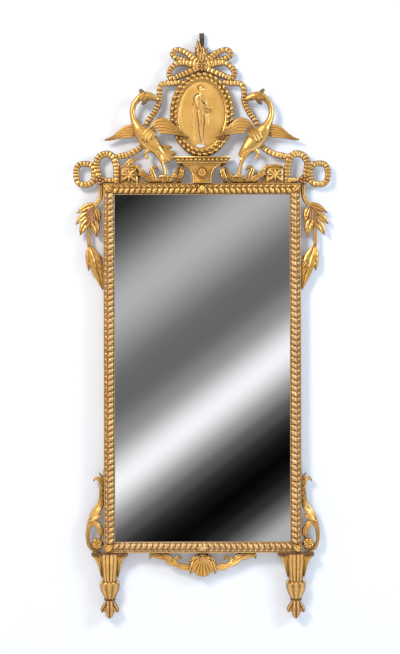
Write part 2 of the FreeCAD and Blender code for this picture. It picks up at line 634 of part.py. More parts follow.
# Corner blocks and corner ribbons
block_inner = "(block_offset + block_width)"
block_blank = plate_body("block_blank",
                         [("-block_offset", "0"), ("-block_offset", "block_height"),
                          (f"-{block_inner}", "block_height"), (f"-({block_inner} + block_slope)", "0")],
                         CORNER, "0", "block_depth")
frame_half = value(FRAME_HALF)
loop_middle = (value("loop_half_width + knot_radius * 2"), value("loop_half_height - 3.3"))
arch = [(11, 15), (18.5, 38), (20.5, 60), (15, 77), (1.2, 87), (-14.8, 88), (-29, 82), (-37.4, 65.8),
        (-41.5, 44), (-42, 24), (-41, -1)]
tie = [(-37, 73), (-52.8, 80)] + [(across - frame_half, up) for across, up in
                                  ((213.3, 83.5), (190, 95), (170, 110))]
sill = [(4, 7), (-18, 6.5), (-40, 6)]
knot_round = circle((9.6, 11.3), value("knot_radius"))
side_loop = ring_loop(loop_middle, value("loop_half_width"), value("loop_half_height"), ribbon_width)
corner_ribbon = [knot_round, band(arch, ribbon_width), band(sill, ribbon_width), band(tie, ribbon_width),
                 side_loop]
corner_ribbon_blank = carving("corner_ribbon_blank", corner_ribbon, CORNER, "ribbon_back", "ribbon_depth")
knot = carving("corner_knot", [knot_round], CORNER, "ribbon_back", "knot_depth")
corner_knotted = joined("corner_ribbon_knotted", [corner_ribbon_blank, knot])
lower_ribbon_right = trimmed("lower_ribbon_right", corner_knotted, block_blank, bird_right, top_rail_blank,
                             right_stile_blank)
other_side("lower_ribbon_left", lower_ribbon_right)

# Acanthus scrolls on the top rail, between plinth and corner block
scroll_inner = bracket_line
scroll_outer = frame_half - value(block_inner)


def along_rail(points):
    """Points given by their share of the run from the plinth to the block, and their height."""
    return [(scroll_inner + share * (scroll_outer - scroll_inner), up) for share, up in points]


base, curl, tip = value("acanthus_base"), value("acanthus_curl"), value(f"{cornice_low} - acanthus_gap")
acanthus = edged(along_rail([(0, 0), (1.15, 0)]),
                 along_rail([(1.15, 0), (1, base), (0.85, base * 0.67), (0.73, base * 0.61)]),
                 along_rail([(0.73, base * 0.61), (0.72, curl * 0.8), (0.63, curl), (0.52, curl * 0.89),
                             (0.55, curl * 0.69), (0.56, curl * 0.45)]),
                 along_rail([(0.56, curl * 0.45), (0.36, tip * 0.41), (0.2, tip * 0.46), (0.09, tip * 0.68),
                             (0.02, tip)]))
acanthus_blank = carving("acanthus_blank", [acanthus], CREST, "0", "acanthus_depth")
acanthus_scroll_right = trimmed("acanthus_scroll_right", acanthus_blank, bracket_blank, block_blank,
                                bird_right)
other_side("acanthus_scroll_left", acanthus_scroll_right)

# Leaf sprays beside the frame
stem = [(9.6, 4), (9.6, -33), (15.7, -51), (27.5, -64.7), (37.4, -89), (41, -118), (41.5, -144), (43, -168),
        (41, -192)]
spray_leaves = [((24, -59), (77.4, -85), 17), ((36, -90), (80.3, -118), 17), ((40, -113), (68, -149), 15),
                ((27.5, -62), (13.3, -116), 17), ((39, -107), (20.6, -155), 15),
                ((43, -180), (44, -253), 19), ((41, -184), (0.5, -308), 25), ((41, -186), (-2, -222), 15),
                ((24, -236), (-2, -266), 14)]
spray_blank = carving("spray_blank",
                      [band(stem, value("stem_width"))] + [leaf(*each) for each in spray_leaves],
                      CORNER, "spray_back", "spray_depth")
leaf_spray_right = trimmed("leaf_spray_right", spray_blank, lower_ribbon_right, right_stile_blank)
other_side("leaf_spray_left", leaf_spray_right)


# Feet: the front outline and the side outline of a fluted drop, where both agree
def foot_outline(widths, left):
    """A closed outline from levels of (half width, height below the rail), curved between sharp steps."""
    right_side = [[(across, -up) for across, up in run] for run in widths]
    left_side = [[(left(across), up) for across, up in run[::-1]] for run in right_side[::-1]]
    return edged(*right_side, *left_side)


half_foot, foot_depth = value("foot_half_width"), value("foot_depth")
flange, foot_height = value("flange_height"), value("foot_height")
front = [[(half_foot, 0), (half_foot, flange)],
         [(half_foot, flange), (34, 29), (29, 42), (24, 64), (20, 85)],
         [(20, 85), (28.7, 92)],
         [(28.7, 92), (26.5, 108), (20, 122), (13.5, 131)],
         [(16, 131), (16, 141)],
         [(13, 141), (20, 155), (25, 168)],
         [(25, 168), (14, 178), (0.5, foot_height)]]
side = [[(foot_depth, 0), (foot_depth, flange)],
        [(foot_depth, flange), (32, 29), (29, 42), (26, 64), (24, 85)],
        [(24, 85), (34, 92)],
        [(34, 92), (32, 108), (26, 122), (20, 131)],
        [(23, 131), (23, 141)],
        [(20, 141), (26, 155), (29, 168)],
        [(29, 168), (20, 180), (6, foot_height)]]
foot_face = foot_outline(front, lambda across: -across)
foot_front = carving("foot_front", [foot_face], FOOT, "0", "foot_depth")
foot_side = new_body("foot_side", (f"{STILE_MIDDLE} - foot_half_width", FRAME_BOTTOM))
side_sketch = sketch_in(foot_side, "foot_side_outline", "0", "YZ_Plane")
side_runs = [[(-deep, up) for deep, up in run] for run in side]
side_sketch.addGeometry(foot_outline(side_runs, lambda deep: 0), False)
pad(foot_side, side_sketch, "2 * foot_half_width")
foot_blank = doc.addObject("Part::Common", "foot_blank")
foot_blank.Base = foot_front
foot_blank.Tool = foot_side

# Side scrolls that stand on the feet
side_stem = [(6, 196), (6, 160), (9, 141), (18.3, 128), (35, 101.5), (47, 74), (49.6, 42.3), (42, 17.7),
             (27, 5)]
side_leaf = [(37, 94), (21, 87), (6, 75), (0, 57), (3, 42)]
scroll_width = value("scroll_width")
scroll_rosette = circle((16.8, 26.7), value("scroll_rosette_radius"))
side_scroll = [band(side_stem, scroll_width), leaf((4, 176), (30, 208), 17), leaf((7, 176), (1, 242), 24),
               band(side_leaf, scroll_width * 0.75), scroll_rosette]
side_scroll_blank = carving("side_scroll_blank", side_scroll, BOTTOM_CORNER, "scroll_back", "scroll_depth")
side_scroll_right = trimmed("side_scroll_right", side_scroll_blank, right_stile_blank, bottom_rail_blank,
                            foot_blank)
other_side("side_scroll_left", side_scroll_right)

# Apron: a shell under the bottom rail with a leaf scroll on each side
shell_half, shell_low, shell_neck = value("shell_half_width"), value("shell_height"), value("shell_neck")
LOBES = 9
shoulder = shell_low * 0.45
lobe_rise = shell_low * 0.048
lobe_turns = [math.pi * step / LOBES for step in range(LOBES + 1)]
rim_drop = shell_low - shoulder - lobe_rise
rim = [(-shell_half * math.cos(turn), -shoulder - rim_drop * math.sin(turn)) for turn in lobe_turns]
shell_edges = edged([rim[-1], (shell_half * 0.72, -shoulder * 0.55), (shell_neck, 0)],
                    [(shell_neck, 0), (-shell_neck, 0)],
                    [(-shell_neck, 0), (-shell_half * 0.72, -shoulder * 0.55), rim[0]])[:3]
for start, end in zip(rim, rim[1:]):
    bulge = Vector(start[0] + end[0], start[1] + end[1] + 2 * shoulder, 0).normalize() * lobe_rise
    crown = (Vector(*start, 0) + Vector(*end, 0)) * 0.5 + bulge
    shell_edges.append(Part.Arc(Vector(*start, 0), crown, Vector(*end, 0)))
shell_blank = carving("shell_blank", [shell_edges], BOTTOM, "0", "shell_depth")
apron_reach, apron_drop, apron_width = value("apron_reach"), value("apron_drop"), value("apron_width")


def along_apron(points):
    """Points given by their share of the apron's reach to the side and of its drop."""
    return [(share * apron_reach, -drop * apron_drop) for share, drop in points]


apron = along_apron([(1, 0.05), (0.86, 0.09), (0.685, 0.35), (0.55, 0.735), (0.38, 1), (0.2, 0.98)])
tendril = along_apron([(0.58, 0.65), (0.4, 0.3)])
end_leaf = along_apron([(0.93, 0.07), (1.005, 0.44)])
apron_outlines = [band(apron, apron_width), leaf(*tendril, apron_width), leaf(*end_leaf, apron_width)]
apron_blank = carving("apron_blank", apron_outlines, BOTTOM, "apron_back", "apron_depth")
apron_scroll_right = trimmed("apron_scroll_right", apron_blank, bottom_rail_blank, shell_blank)
other_side("apron_scroll_left", apron_scroll_right)

# Dowels across the joints with the rails
dowels = []
bores = {}
plinth_dowel = "plinth_foot / 2"
block_dowel = f"({FRAME_HALF} - block_offset - block_width / 2)"
for name, across, joint, woods in (
        ("plinth_left", f"-{plinth_dowel}", FRAME_TOP, ("top_rail", "plinth_body")),
        ("plinth_right", plinth_dowel, FRAME_TOP, ("top_rail", "plinth_body")),
        ("block_left", f"-{block_dowel}", FRAME_TOP, ("top_rail", "block_left")),
        ("block_right", block_dowel, FRAME_TOP, ("top_rail", "block_right")),
        ("foot_left", f"-{STILE_MIDDLE}", FRAME_BOTTOM, ("bottom_rail", "foot_left")),
        ("foot_right", STILE_MIDDLE, FRAME_BOTTOM, ("bottom_rail", "foot_right")),
        ("shell", "0", FRAME_BOTTOM, ("bottom_rail", "shell"))):
    start = (across, f"{BACK} - dowel_depth", f"{joint} - dowel_half")
    dowels.append(rod(f"dowel_{name}", "dowel_radius", "2 * dowel_half", start, (0, 0, 1)))
    bore = rod(f"bore_{name}", "dowel_radius + running_clearance", "2 * (dowel_half + wood_gap)",
               (across, f"{BACK} - dowel_depth", f"{joint} - dowel_half - wood_gap"), (0, 0, 1))
    for wood in woods:
        bores.setdefault(wood, []).append(bore)
group("crest_dowels", dowels)
group("back_screws", screws)


# Pieces that are drilled for screws and dowels
def drilled(label, blank, wood):
    holes = drills.get(wood, []) + bores.get(wood, [])
    return trimmed(label, blank, group(f"{label}_holes", holes))


drilled("top_rail", top_rail_blank, "top_rail")
drilled("bottom_rail", bottom_rail_blank, "bottom_rail")
drilled("left_stile", left_stile_blank, "left_stile")
drilled("right_stile", right_stile_blank, "right_stile")
drilled("hanger_strap", strap_blank, "hanger_strap")
drilled("plinth_body", plinth_body_blank, "plinth_body")
drilled("medallion_bead_frame", medallion_blank, "medallion_bead_frame")
drilled("bow_rosette", bow_rosette_body, "bow_rosette")
drilled("corner_block_right", block_blank, "block_right")
drilled("corner_block_left", other_side("block_left_blank", block_blank), "block_left")
drilled("foot_right", foot_blank, "foot_right")
drilled("foot_left", other_side("foot_left_blank", foot_blank), "foot_left")
drilled("apron_shell", shell_blank, "shell")

# Check and write every piece
PAIRS = ("bow", "upper_ribbon", "bird", "outer_wing", "inner_wing", "lower_ribbon", "corner_block",
         "acanthus_scroll", "leaf_spray", "side_scroll", "foot", "apron_scroll", "plinth_bracket",
         "ring_plate", "hanging_ring")
NODES = ["top_rail", "bottom_rail", "left_stile", "right_stile", "corner_leaves", "mirror_plate",
         "glazing_blocks", "hanger_strap", "back_screws", "plinth_cornice", "plinth_body", "plinth_rosette",
         "medallion_panel", "medallion_figure", "medallion_bead_frame", "bow_rosette", "leaf_finial",
         "apron_shell", "crest_dowels"]
NODES += [f"rope_moulding_{side}" for side in ("top", "bottom", "left", "right")]
NODES += [f"backboard_{side}" for side in ("left", "middle", "right")]
NODES += [f"turn_button_{side}_{level}" for side in ("left", "right") for level in ("upper", "lower")]
NODES += [f"{pair}_{side}" for pair in PAIRS for side in ("left", "right")]
GROUPS = {"corner_leaves": len(corner_blocks), "glazing_blocks": len(wedges), "back_screws": len(screws),
          "crest_dowels": len(dowels)}

doc.recompute()
for item in doc.Objects:
    if "Invalid" in item.State or "Error" in item.State:
        raise RuntimeError(f"{item.Label} failed: {item.State}")
by_label = {item.Label: item for item in doc.Objects}
for node in NODES:
    shape = by_label[node].Shape
    if shape.isNull() or not shape.isValid():
        raise RuntimeError(f"{node} has no valid shape")
    if len(shape.Solids) != GROUPS.get(node, 1):
        raise RuntimeError(f"{node} has {len(shape.Solids)} solids")
    shape.exportStep(f"parts/{node}.step")
print(len(NODES), "pieces written")
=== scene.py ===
"""Looks of a carved giltwood wall mirror: gilding, carved ornament, birds, ribbons and its stage.

The carving is written in millimetres: across and height from an anchor on the frame, and depth from
the flat back of the carving towards the front, which faces -Y.
"""

import math

import bmesh
import bpy
import numpy as np
from bpy.props import FloatProperty, FloatVectorProperty, IntProperty, PointerProperty
from bpy.types import Operator, Panel, PropertyGroup
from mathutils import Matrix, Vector


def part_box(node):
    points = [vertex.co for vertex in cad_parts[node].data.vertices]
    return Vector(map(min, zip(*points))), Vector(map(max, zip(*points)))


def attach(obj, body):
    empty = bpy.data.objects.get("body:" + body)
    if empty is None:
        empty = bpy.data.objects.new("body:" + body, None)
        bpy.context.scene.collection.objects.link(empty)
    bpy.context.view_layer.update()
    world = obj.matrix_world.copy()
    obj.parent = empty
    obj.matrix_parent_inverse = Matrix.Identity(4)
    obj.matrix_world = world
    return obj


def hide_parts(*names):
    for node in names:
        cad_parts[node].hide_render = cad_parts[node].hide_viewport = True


bl_info = {
    "name": "Carved giltwood wall mirror",
    "version": (1, 0, 0),
    "blender": (4, 5, 0),
    "location": "View3D > Sidebar > Mirror",
    "description": "Carves and gilds the pieces of a wall mirror on its packed frame",
    "category": "Object",
}

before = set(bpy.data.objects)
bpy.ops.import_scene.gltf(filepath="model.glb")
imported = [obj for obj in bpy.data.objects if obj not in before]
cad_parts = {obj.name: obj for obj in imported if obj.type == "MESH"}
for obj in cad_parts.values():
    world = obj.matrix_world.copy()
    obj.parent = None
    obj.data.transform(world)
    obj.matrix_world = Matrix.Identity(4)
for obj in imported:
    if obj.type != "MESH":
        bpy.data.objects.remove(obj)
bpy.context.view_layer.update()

# Anchors on the frame, in metres
MM = 0.001
BODY = "mirror"
SIDES = (("right", 1), ("left", -1))


def middle_of(label):
    """Middle of a CAD node's box."""
    low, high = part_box(label)
    return [(a + b) / 2 for a, b in zip(low, high)]


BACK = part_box("top_rail")[1][1]
FRAME_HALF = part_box("right_stile")[1][0]
FRAME_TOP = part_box("top_rail")[1][2]
FRAME_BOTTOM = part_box("bottom_rail")[0][2]
CREST = (0, FRAME_TOP)
CORNER = (FRAME_HALF, FRAME_TOP)
BOTTOM = (0, FRAME_BOTTOM)
BOTTOM_CORNER = (FRAME_HALF, FRAME_BOTTOM)
FOOT = (middle_of("rope_moulding_right")[0], FRAME_BOTTOM)
MEDALLION = (0, middle_of("medallion_panel")[2])
BOW = (0, middle_of("bow_rosette")[2])
BOW_HEIGHT = (BOW[1] - FRAME_TOP) / MM


# Settings that a user would change
class GiltSettings(PropertyGroup):
    gold: FloatVectorProperty(name="Gold", description="Bright burnished leaf", subtype="COLOR", size=4,
                              min=0, max=1, default=(0.93, 0.53, 0.135, 1))
    old_gold: FloatVectorProperty(name="Old gold", description="Leaf that has toned down", subtype="COLOR",
                                  size=4, min=0, max=1, default=(0.76, 0.38, 0.07, 1))
    bole: FloatVectorProperty(name="Bole", description="Red clay ground where the leaf is rubbed through",
                              subtype="COLOR", size=4, min=0, max=1, default=(0.3, 0.1, 0.045, 1))
    # This colour also fills the painted shade in hollows and on sides turned from the front.
    soil_and_shade: FloatVectorProperty(name="Grime", description="Dirt in the hollows of the carving",
                               subtype="COLOR", size=4, min=0, max=1, default=(0.1, 0.036, 0.006, 1))
    # This colour also lightens the leaf as painted sheen, through the pale setting of a finish.
    gesso_and_sheen: FloatVectorProperty(name="Gesso", description="White ground where the panel is chipped",
                               subtype="COLOR", size=4, min=0, max=1, default=(0.82, 0.74, 0.68, 1))
    wood: FloatVectorProperty(name="Pine", description="Bare wood at the back", subtype="COLOR", size=4,
                              min=0, max=1, default=(0.34, 0.2, 0.1, 1))
    iron: FloatVectorProperty(name="Iron", description="Forged iron of strap, rings and screws",
                              subtype="COLOR", size=4, min=0, max=1, default=(0.07, 0.062, 0.05, 1))
    silver: FloatVectorProperty(name="Silvering", description="Reflecting coat of the plate",
                                subtype="COLOR", size=4, min=0, max=1, default=(0.94, 0.945, 0.95, 1))


class CarvingSettings(PropertyGroup):
    rope_pitch: FloatProperty(name="Rope pitch", description="Length of one lobe of the rope moulding",
                              unit="LENGTH", default=0.0163)
    pleat_pitch: FloatProperty(name="Pleat pitch", description="Width of one pleat of a ribbon",
                               unit="LENGTH", default=0.0102)
    bead_count: IntProperty(name="Beads", description="Beads in one row of the medallion's frame",
                            default=38, min=8)
    egg_count: IntProperty(name="Eggs", description="Eggs under the top of the plinth's cornice",
                           default=12, min=3)


class StageSettings(PropertyGroup):
    distance: FloatProperty(name="Distance", description="From the camera to the wall side of the frame",
                            unit="LENGTH", default=6.0)
    view_height: FloatProperty(name="View height", description="Height of the wall that the picture shows",
                               unit="LENGTH", default=1.8966)
    key_power: FloatProperty(name="Key light", description="Power of the large lamp at the upper left",
                             unit="POWER", default=98, min=0)
    wall: FloatVectorProperty(name="Wall", description="Colour of wall and floor", subtype="COLOR", size=4,
                              min=0, max=1, default=(0.82, 0.82, 0.84, 1))


# Node helpers
def connect(tree, made, inputs):
    """A node's inputs set to values or linked to sockets."""
    for socket, source in dict(inputs).items():
        if isinstance(source, bpy.types.NodeSocket):
            tree.links.new(source, made.inputs[socket])
        else:
            made.inputs[socket].default_value = source


def node(tree, kind, inputs=(), **settings):
    """A node of a tree with its settings and inputs."""
    made = tree.nodes.new(kind)
    for name, setting in settings.items():
        setattr(made, name, setting)
    connect(tree, made, inputs)
    return made


def maths(tree, operation, first, second=0.0, clamp=False):
    """One sum on two values or sockets."""
    return node(tree, "ShaderNodeMath", {0: first, 1: second}, operation=operation,
                use_clamp=clamp).outputs[0]


def added(tree, first, second, share):
    """The first value plus a share of the second."""
    return maths(tree, "ADD", first, maths(tree, "MULTIPLY", second, share))


def spread(tree, source, low, high, start=0.0, end=1.0):
    """The source mapped from low..high to start..end, held at both ends."""
    return node(tree, "ShaderNodeMapRange", {0: source, 1: low, 2: high, 3: start, 4: end}).outputs[0]


def tinted(tree, factor, first, second, kind="MIX"):
    """Two colours mixed by a factor."""
    return node(tree, "ShaderNodeMix", {0: factor, 6: first, 7: second}, data_type="RGBA",
                blend_type=kind).outputs[2]


def noise(tree, coords, scale, detail, rough=0.55):
    """Cloudy values between 0 and 1."""
    return node(tree, "ShaderNodeTexNoise", {"Vector": coords, "Scale": scale, "Detail": detail,
                                             "Roughness": rough}).outputs[0]


def sockets(tree, direction, names):
    """Named sockets on one side of a tree."""
    for name, kind in names:
        tree.interface.new_socket(name, in_out=direction, socket_type=kind)


FLOAT, COLOUR, VECTOR = "NodeSocketFloat", "NodeSocketColor", "NodeSocketVector"


def shader_group(name, inputs, outputs):
    """A new shader group with its input and output nodes."""
    tree = bpy.data.node_groups.new(name, "ShaderNodeTree")
    sockets(tree, "INPUT", inputs)
    sockets(tree, "OUTPUT", outputs)
    return tree, tree.nodes.new("NodeGroupInput").outputs, tree.nodes.new("NodeGroupOutput").inputs


def rubbed_edges():
    """Mask of the crests where hands and dusters have rubbed the leaf through."""
    inputs = (("Coords", VECTOR), ("Crest", FLOAT), ("Amount", FLOAT))
    tree, given, out = shader_group("rubbed_edges", inputs, (("Mask", FLOAT),))
    patches = noise(tree, given["Coords"], 34, 4)
    lifted = added(tree, given["Crest"], patches, 0.9)
    mask = spread(tree, lifted, 1.46, 1.62)
    tree.links.new(maths(tree, "MULTIPLY", mask, given["Amount"]), out["Mask"])
    return tree


def hollow_soil_and_shade():
    """Mask of soiling in drifts on low ground, and of painted shade in hollows and on sides turned from the
    front.
    """
    inputs = (("Coords", VECTOR), ("Crest", FLOAT), ("Open", FLOAT), ("Front", FLOAT), ("Amount", FLOAT))
    tree, given, out = shader_group("hollow_soil_and_shade", inputs, (("Mask", FLOAT),))
    specks = noise(tree, given["Coords"], 120, 4)
    low = spread(tree, added(tree, given["Crest"], specks, 0.5), 0.25, 0.72, 1, 0)
    # Painted shade where ambient occlusion finds the carving closed in.
    occluded_shade = spread(tree, added(tree, given["Open"], specks, 0.3), 0.5, 0.95, 1, 0)
    # Painted shade on sides that turn away from the front.
    turned_away_shade = spread(tree, added(tree, given["Front"], specks, 0.3), 0.45, 0.98, 0.88, 0)
    mask = maths(tree, "MAXIMUM", maths(tree, "MULTIPLY", low, 0.92), maths(tree, "MAXIMUM", occluded_shade, turned_away_shade))
    tree.links.new(maths(tree, "MULTIPLY", mask, given["Amount"], True), out["Mask"])
    return tree


def toned_leaf():
    """Colour of the leaf, which varies from sheet to sheet and in cloudy patches."""
    inputs = (("Coords", VECTOR), ("Bright", COLOUR), ("Toned", COLOUR))
    tree, given, out = shader_group("toned_leaf", inputs, (("Color", COLOUR), ("Height", FLOAT)))
    clouds = noise(tree, given["Coords"], 16, 4)
    fine = noise(tree, given["Coords"], 260, 2)
    shade = added(tree, maths(tree, "MULTIPLY", clouds, 0.75), fine, 0.25)
    colour = tinted(tree, spread(tree, shade, 0.36, 0.64), given["Bright"], given["Toned"])
    tree.links.new(colour, out["Color"])
    ripple = noise(tree, given["Coords"], 75, 2)
    tree.links.new(added(tree, ripple, fine, 0.3), out["Height"])
    return tree


def wood_figure():
    """Long grain with dark late wood, along Z unless the coordinates are turned."""
    inputs = (("Coords", VECTOR), ("Light", COLOUR), ("Dark", COLOUR))
    tree, given, out = shader_group("wood_figure", inputs, (("Color", COLOUR), ("Height", FLOAT)))
    drawn = node(tree, "ShaderNodeMapping", {"Vector": given["Coords"], "Scale": (1, 1, 0.05)}).outputs[0]
    rings = node(tree, "ShaderNodeTexWave", {"Vector": drawn, "Scale": 7, "Distortion": 16, "Detail": 4,
                                             "Detail Scale": 1.2}, bands_direction="X").outputs[1]
    fibre = noise(tree, drawn, 420, 3)
    stain = noise(tree, given["Coords"], 5, 4)
    shade = added(tree, maths(tree, "MULTIPLY", rings, 0.3), fibre, 0.5)
    shade = added(tree, shade, stain, 0.5)
    colour = tinted(tree, spread(tree, shade, 0.3, 0.95), given["Light"], given["Dark"])
    tree.links.new(colour, out["Color"])
    tree.links.new(fibre, out["Height"])
    return tree


GROUPS = {}


def effect(tree, maker, inputs):
    """One of the shared effects, placed in a material with its own values."""
    if maker.__name__ not in GROUPS:
        GROUPS[maker.__name__] = maker()
    return node(tree, "ShaderNodeGroup", inputs, node_tree=GROUPS[maker.__name__]).outputs


def empty_material(name):
    """A material with an empty tree."""
    material = bpy.data.materials.new(name)
    material.use_nodes = True
    material.node_tree.nodes.clear()
    return material, material.node_tree


def new_material(name):
    """A material with its Principled shader and Object coordinates."""
    material = bpy.data.materials.new(name)
    material.use_nodes = True
    tree = material.node_tree
    shader = tree.nodes["Principled BSDF"]
    coords = node(tree, "ShaderNodeTexCoord").outputs["Object"]
    return material, tree, shader, coords


def bump(tree, shader, height, distance):
    """Fine unevenness of a finish."""
    made = node(tree, "ShaderNodeBump", {"Height": height, "Distance": distance, "Strength": 0.6})
    connect(tree, shader, {"Normal": made.outputs[0]})


def darkened(colour, share):
    """A colour at a share of its brightness."""
    return [share * part for part in colour[:3]] + [1]


# Finishes
def gilt(name, crest=None, wear=0.75, soil_and_shade=1.0, shine=0.8, dull=0.0, coat=0.55, pale=0.0, grain=None,
         chip=None):
    """Old water gilding on red bole, with painted shade in its hollows and on sides turned from the front;
    a flat piece has no crest of its own and takes an even value.
    """
    hollow_reach = 14 * MM
    ripple = 0.7 * MM
    tones = bpy.context.scene.mirror_gilt
    material, tree, shader, coords = new_material(name)
    if crest is None:
        crest = node(tree, "ShaderNodeAttribute", attribute_name="crest").outputs["Fac"]
        crest = maths(tree, "SUBTRACT", crest, dull)
    leaf = effect(tree, toned_leaf, {"Coords": coords, "Bright": tuple(tones.gold),
                                     "Toned": tuple(tones.old_gold)})
    rub = effect(tree, rubbed_edges, {"Coords": coords, "Crest": crest, "Amount": wear})["Mask"]
    red = node(tree, "ShaderNodeAttribute", attribute_name="red").outputs["Fac"]
    rub = maths(tree, "MAXIMUM", rub, red)
    # Ambient occlusion: painted shade in the hollows and where pieces meet.
    shade = node(tree, "ShaderNodeAmbientOcclusion", {"Distance": hollow_reach}, samples=4).outputs["AO"]
    # How squarely each face turns to the front; faces turned away take painted shade in the mask below.
    lie = node(tree, "ShaderNodeSeparateXYZ", {0: node(tree, "ShaderNodeNewGeometry").outputs["Normal"]})
    front = maths(tree, "MULTIPLY", lie.outputs["Y"], -1.0)
    soil_and_shade_mask = effect(tree, hollow_soil_and_shade, {"Coords": coords, "Crest": crest, "Open": shade, "Front": front,
                                       "Amount": soil_and_shade})["Mask"]
    # A share of the ground's white makes the leaf paler: painted sheen.
    colour = tinted(tree, pale, leaf["Color"], tuple(tones.gesso_and_sheen))
    colour = tinted(tree, rub, colour, tuple(tones.bole))
    # Soiling and painted shade darken the leaf, take away its metal and roughen it.
    colour = tinted(tree, soil_and_shade_mask, colour, tuple(tones.soil_and_shade))
    bright = maths(tree, "SUBTRACT", 1.0, maths(tree, "MAXIMUM", rub, maths(tree, "MULTIPLY", soil_and_shade_mask, 0.85)))
    metal = maths(tree, "MULTIPLY", bright, shine)
    rough = spread(tree, bright, 0, 1, 0.62, 0.34)
    bare = []
    if grain:
        turned = node(tree, "ShaderNodeMapping", {"Vector": coords, "Rotation": grain}).outputs[0]
        facing = node(tree, "ShaderNodeSeparateXYZ",
                      {0: node(tree, "ShaderNodeNewGeometry").outputs["True Normal"]}).outputs["Y"]
        wood = effect(tree, wood_figure, {"Coords": turned, "Light": tuple(tones.wood),
                                          "Dark": darkened(tones.wood, 0.4)})
        bare.append((spread(tree, facing, 0.4, 0.6), wood["Color"], 0.8))
    if chip:
        away = node(tree, "ShaderNodeMapping",
                    {"Vector": coords, "Location": [-part / size for part, size in zip(*chip)],
                     "Scale": [1 / size for size in chip[1]]}).outputs[0]
        reach = node(tree, "ShaderNodeVectorMath", {0: away}, operation="LENGTH").outputs["Value"]
        ragged = added(tree, reach, noise(tree, coords, 190, 3), 0.7)
        bare.append((spread(tree, ragged, 1.22, 1.3, 1, 0), tuple(tones.gesso_and_sheen), 0.9))
    for mask, under, dullness in bare:
        colour = tinted(tree, mask, colour, under)
        metal = maths(tree, "MULTIPLY", metal, maths(tree, "SUBTRACT", 1.0, mask))
        rough = maths(tree, "MAXIMUM", rough, maths(tree, "MULTIPLY", mask, dullness))
    connect(tree, shader, {"Base Color": colour, "Metallic": metal, "Roughness": rough, "Coat Weight": coat,
                           "Coat Roughness": 0.22})
    bump(tree, shader, leaf["Height"], ripple)
    return material


def pine(name):
    """Old bare pine, darkened by dust."""
    ripple = 0.8 * MM
    tones = bpy.context.scene.mirror_gilt
    material, tree, shader, coords = new_material(name)
    chance = maths(tree, "MULTIPLY", node(tree, "ShaderNodeObjectInfo").outputs["Random"], 4)
    start = node(tree, "ShaderNodeCombineXYZ", {"X": chance, "Z": chance}).outputs[0]
    sawn = node(tree, "ShaderNodeMapping", {"Vector": coords, "Location": start}).outputs[0]
    wood = effect(tree, wood_figure, {"Coords": sawn, "Light": tuple(tones.wood),
                                      "Dark": darkened(tones.wood, 0.42)})
    rough = spread(tree, wood["Height"], 0, 1, 0.62, 0.9)
    connect(tree, shader, {"Base Color": wood["Color"], "Roughness": rough})
    bump(tree, shader, wood["Height"], ripple)
    return material


def forged(name):
    """Hammered iron with rust in patches."""
    ripple = 0.9 * MM
    rust_colour = (0.16, 0.085, 0.035, 1)
    tones = bpy.context.scene.mirror_gilt
    material, tree, shader, coords = new_material(name)
    dents = noise(tree, coords, 130, 3)
    rust = spread(tree, noise(tree, coords, 48, 5, 0.7), 0.47, 0.68)
    colour = tinted(tree, rust, tuple(tones.iron), rust_colour)
    metal = spread(tree, rust, 0, 1, 0.75, 0.1)
    rough = spread(tree, rust, 0, 1, 0.42, 0.85)
    connect(tree, shader, {"Base Color": colour, "Metallic": metal, "Roughness": rough})
    bump(tree, shader, dents, ripple)
    return material


def silvered(name):
    """Looking glass, with a faint haze and a few spots towards its edges."""
    spot_colour = (0.3, 0.29, 0.27, 1)
    tones = bpy.context.scene.mirror_gilt
    material, tree, shader, coords = new_material(name)
    spots = spread(tree, noise(tree, coords, 60, 4, 0.7), 0.74, 0.8)
    haze = noise(tree, coords, 3, 3)
    colour = tinted(tree, maths(tree, "MULTIPLY", spots, 0.5), tuple(tones.silver), spot_colour)
    dull = maths(tree, "MULTIPLY", spots, 0.2)
    rough = maths(tree, "ADD", dull, spread(tree, haze, 0.3, 0.7, 0.01, 0.03))
    connect(tree, shader, {"Base Color": colour, "Metallic": 1, "Roughness": rough})
    return material


# The bare spot on the medallion's panel: its middle and its half sizes
CHIP = ((MEDALLION[0] - 4 * MM, BACK - 14 * MM, MEDALLION[1] - 90 * MM), (13.5 * MM, 20 * MM, 5.8 * MM))
# Each finish with its maker and the settings that differ from the maker's own
RECIPES = {"gilt_carved": (gilt, {}),
           # A lighter copy with painted sheen and highlight, and less wear and soiling, for the rope on the
           # stiles and bottom rail.
           "gilt_bright": (gilt, {"wear": 0.34, "soil_and_shade": 0.84, "dull": -0.16, "coat": 1.0, "pale": 0.09}),
           "gilt_dull": (gilt, {"soil_and_shade": 1.05, "dull": 0.2}),
           # A slightly darker copy of the gilding for the bead frame and the feet: painted shade.
           "gilt_toned": (gilt, {"dull": 0.09}),
           "gilt_fresh": (gilt, {"wear": 0.2, "soil_and_shade": 0.75, "dull": -0.15, "shine": 0.6}),
           "gilt_upright": (gilt, {"crest": 0.62, "wear": 0.5, "soil_and_shade": 0.8, "grain": (0, 0, 0)}),
           "gilt_level": (gilt, {"crest": 0.62, "wear": 0.5, "soil_and_shade": 0.8, "grain": (0, math.pi / 2, 0)}),
           "gilt_panel": (gilt, {"wear": 0.3, "shine": 0.5, "chip": CHIP}),
           "pine": (pine, {}),
           "forged_iron": (forged, {}),
           "looking_glass": (silvered, {})}
FINISHES = {}


def finish(name):
    """One of the mirror's finishes, made when it is first asked for."""
    if name not in FINISHES:
        maker, settings = RECIPES[name]
        FINISHES[name] = maker(name, **settings)
    return FINISHES[name]


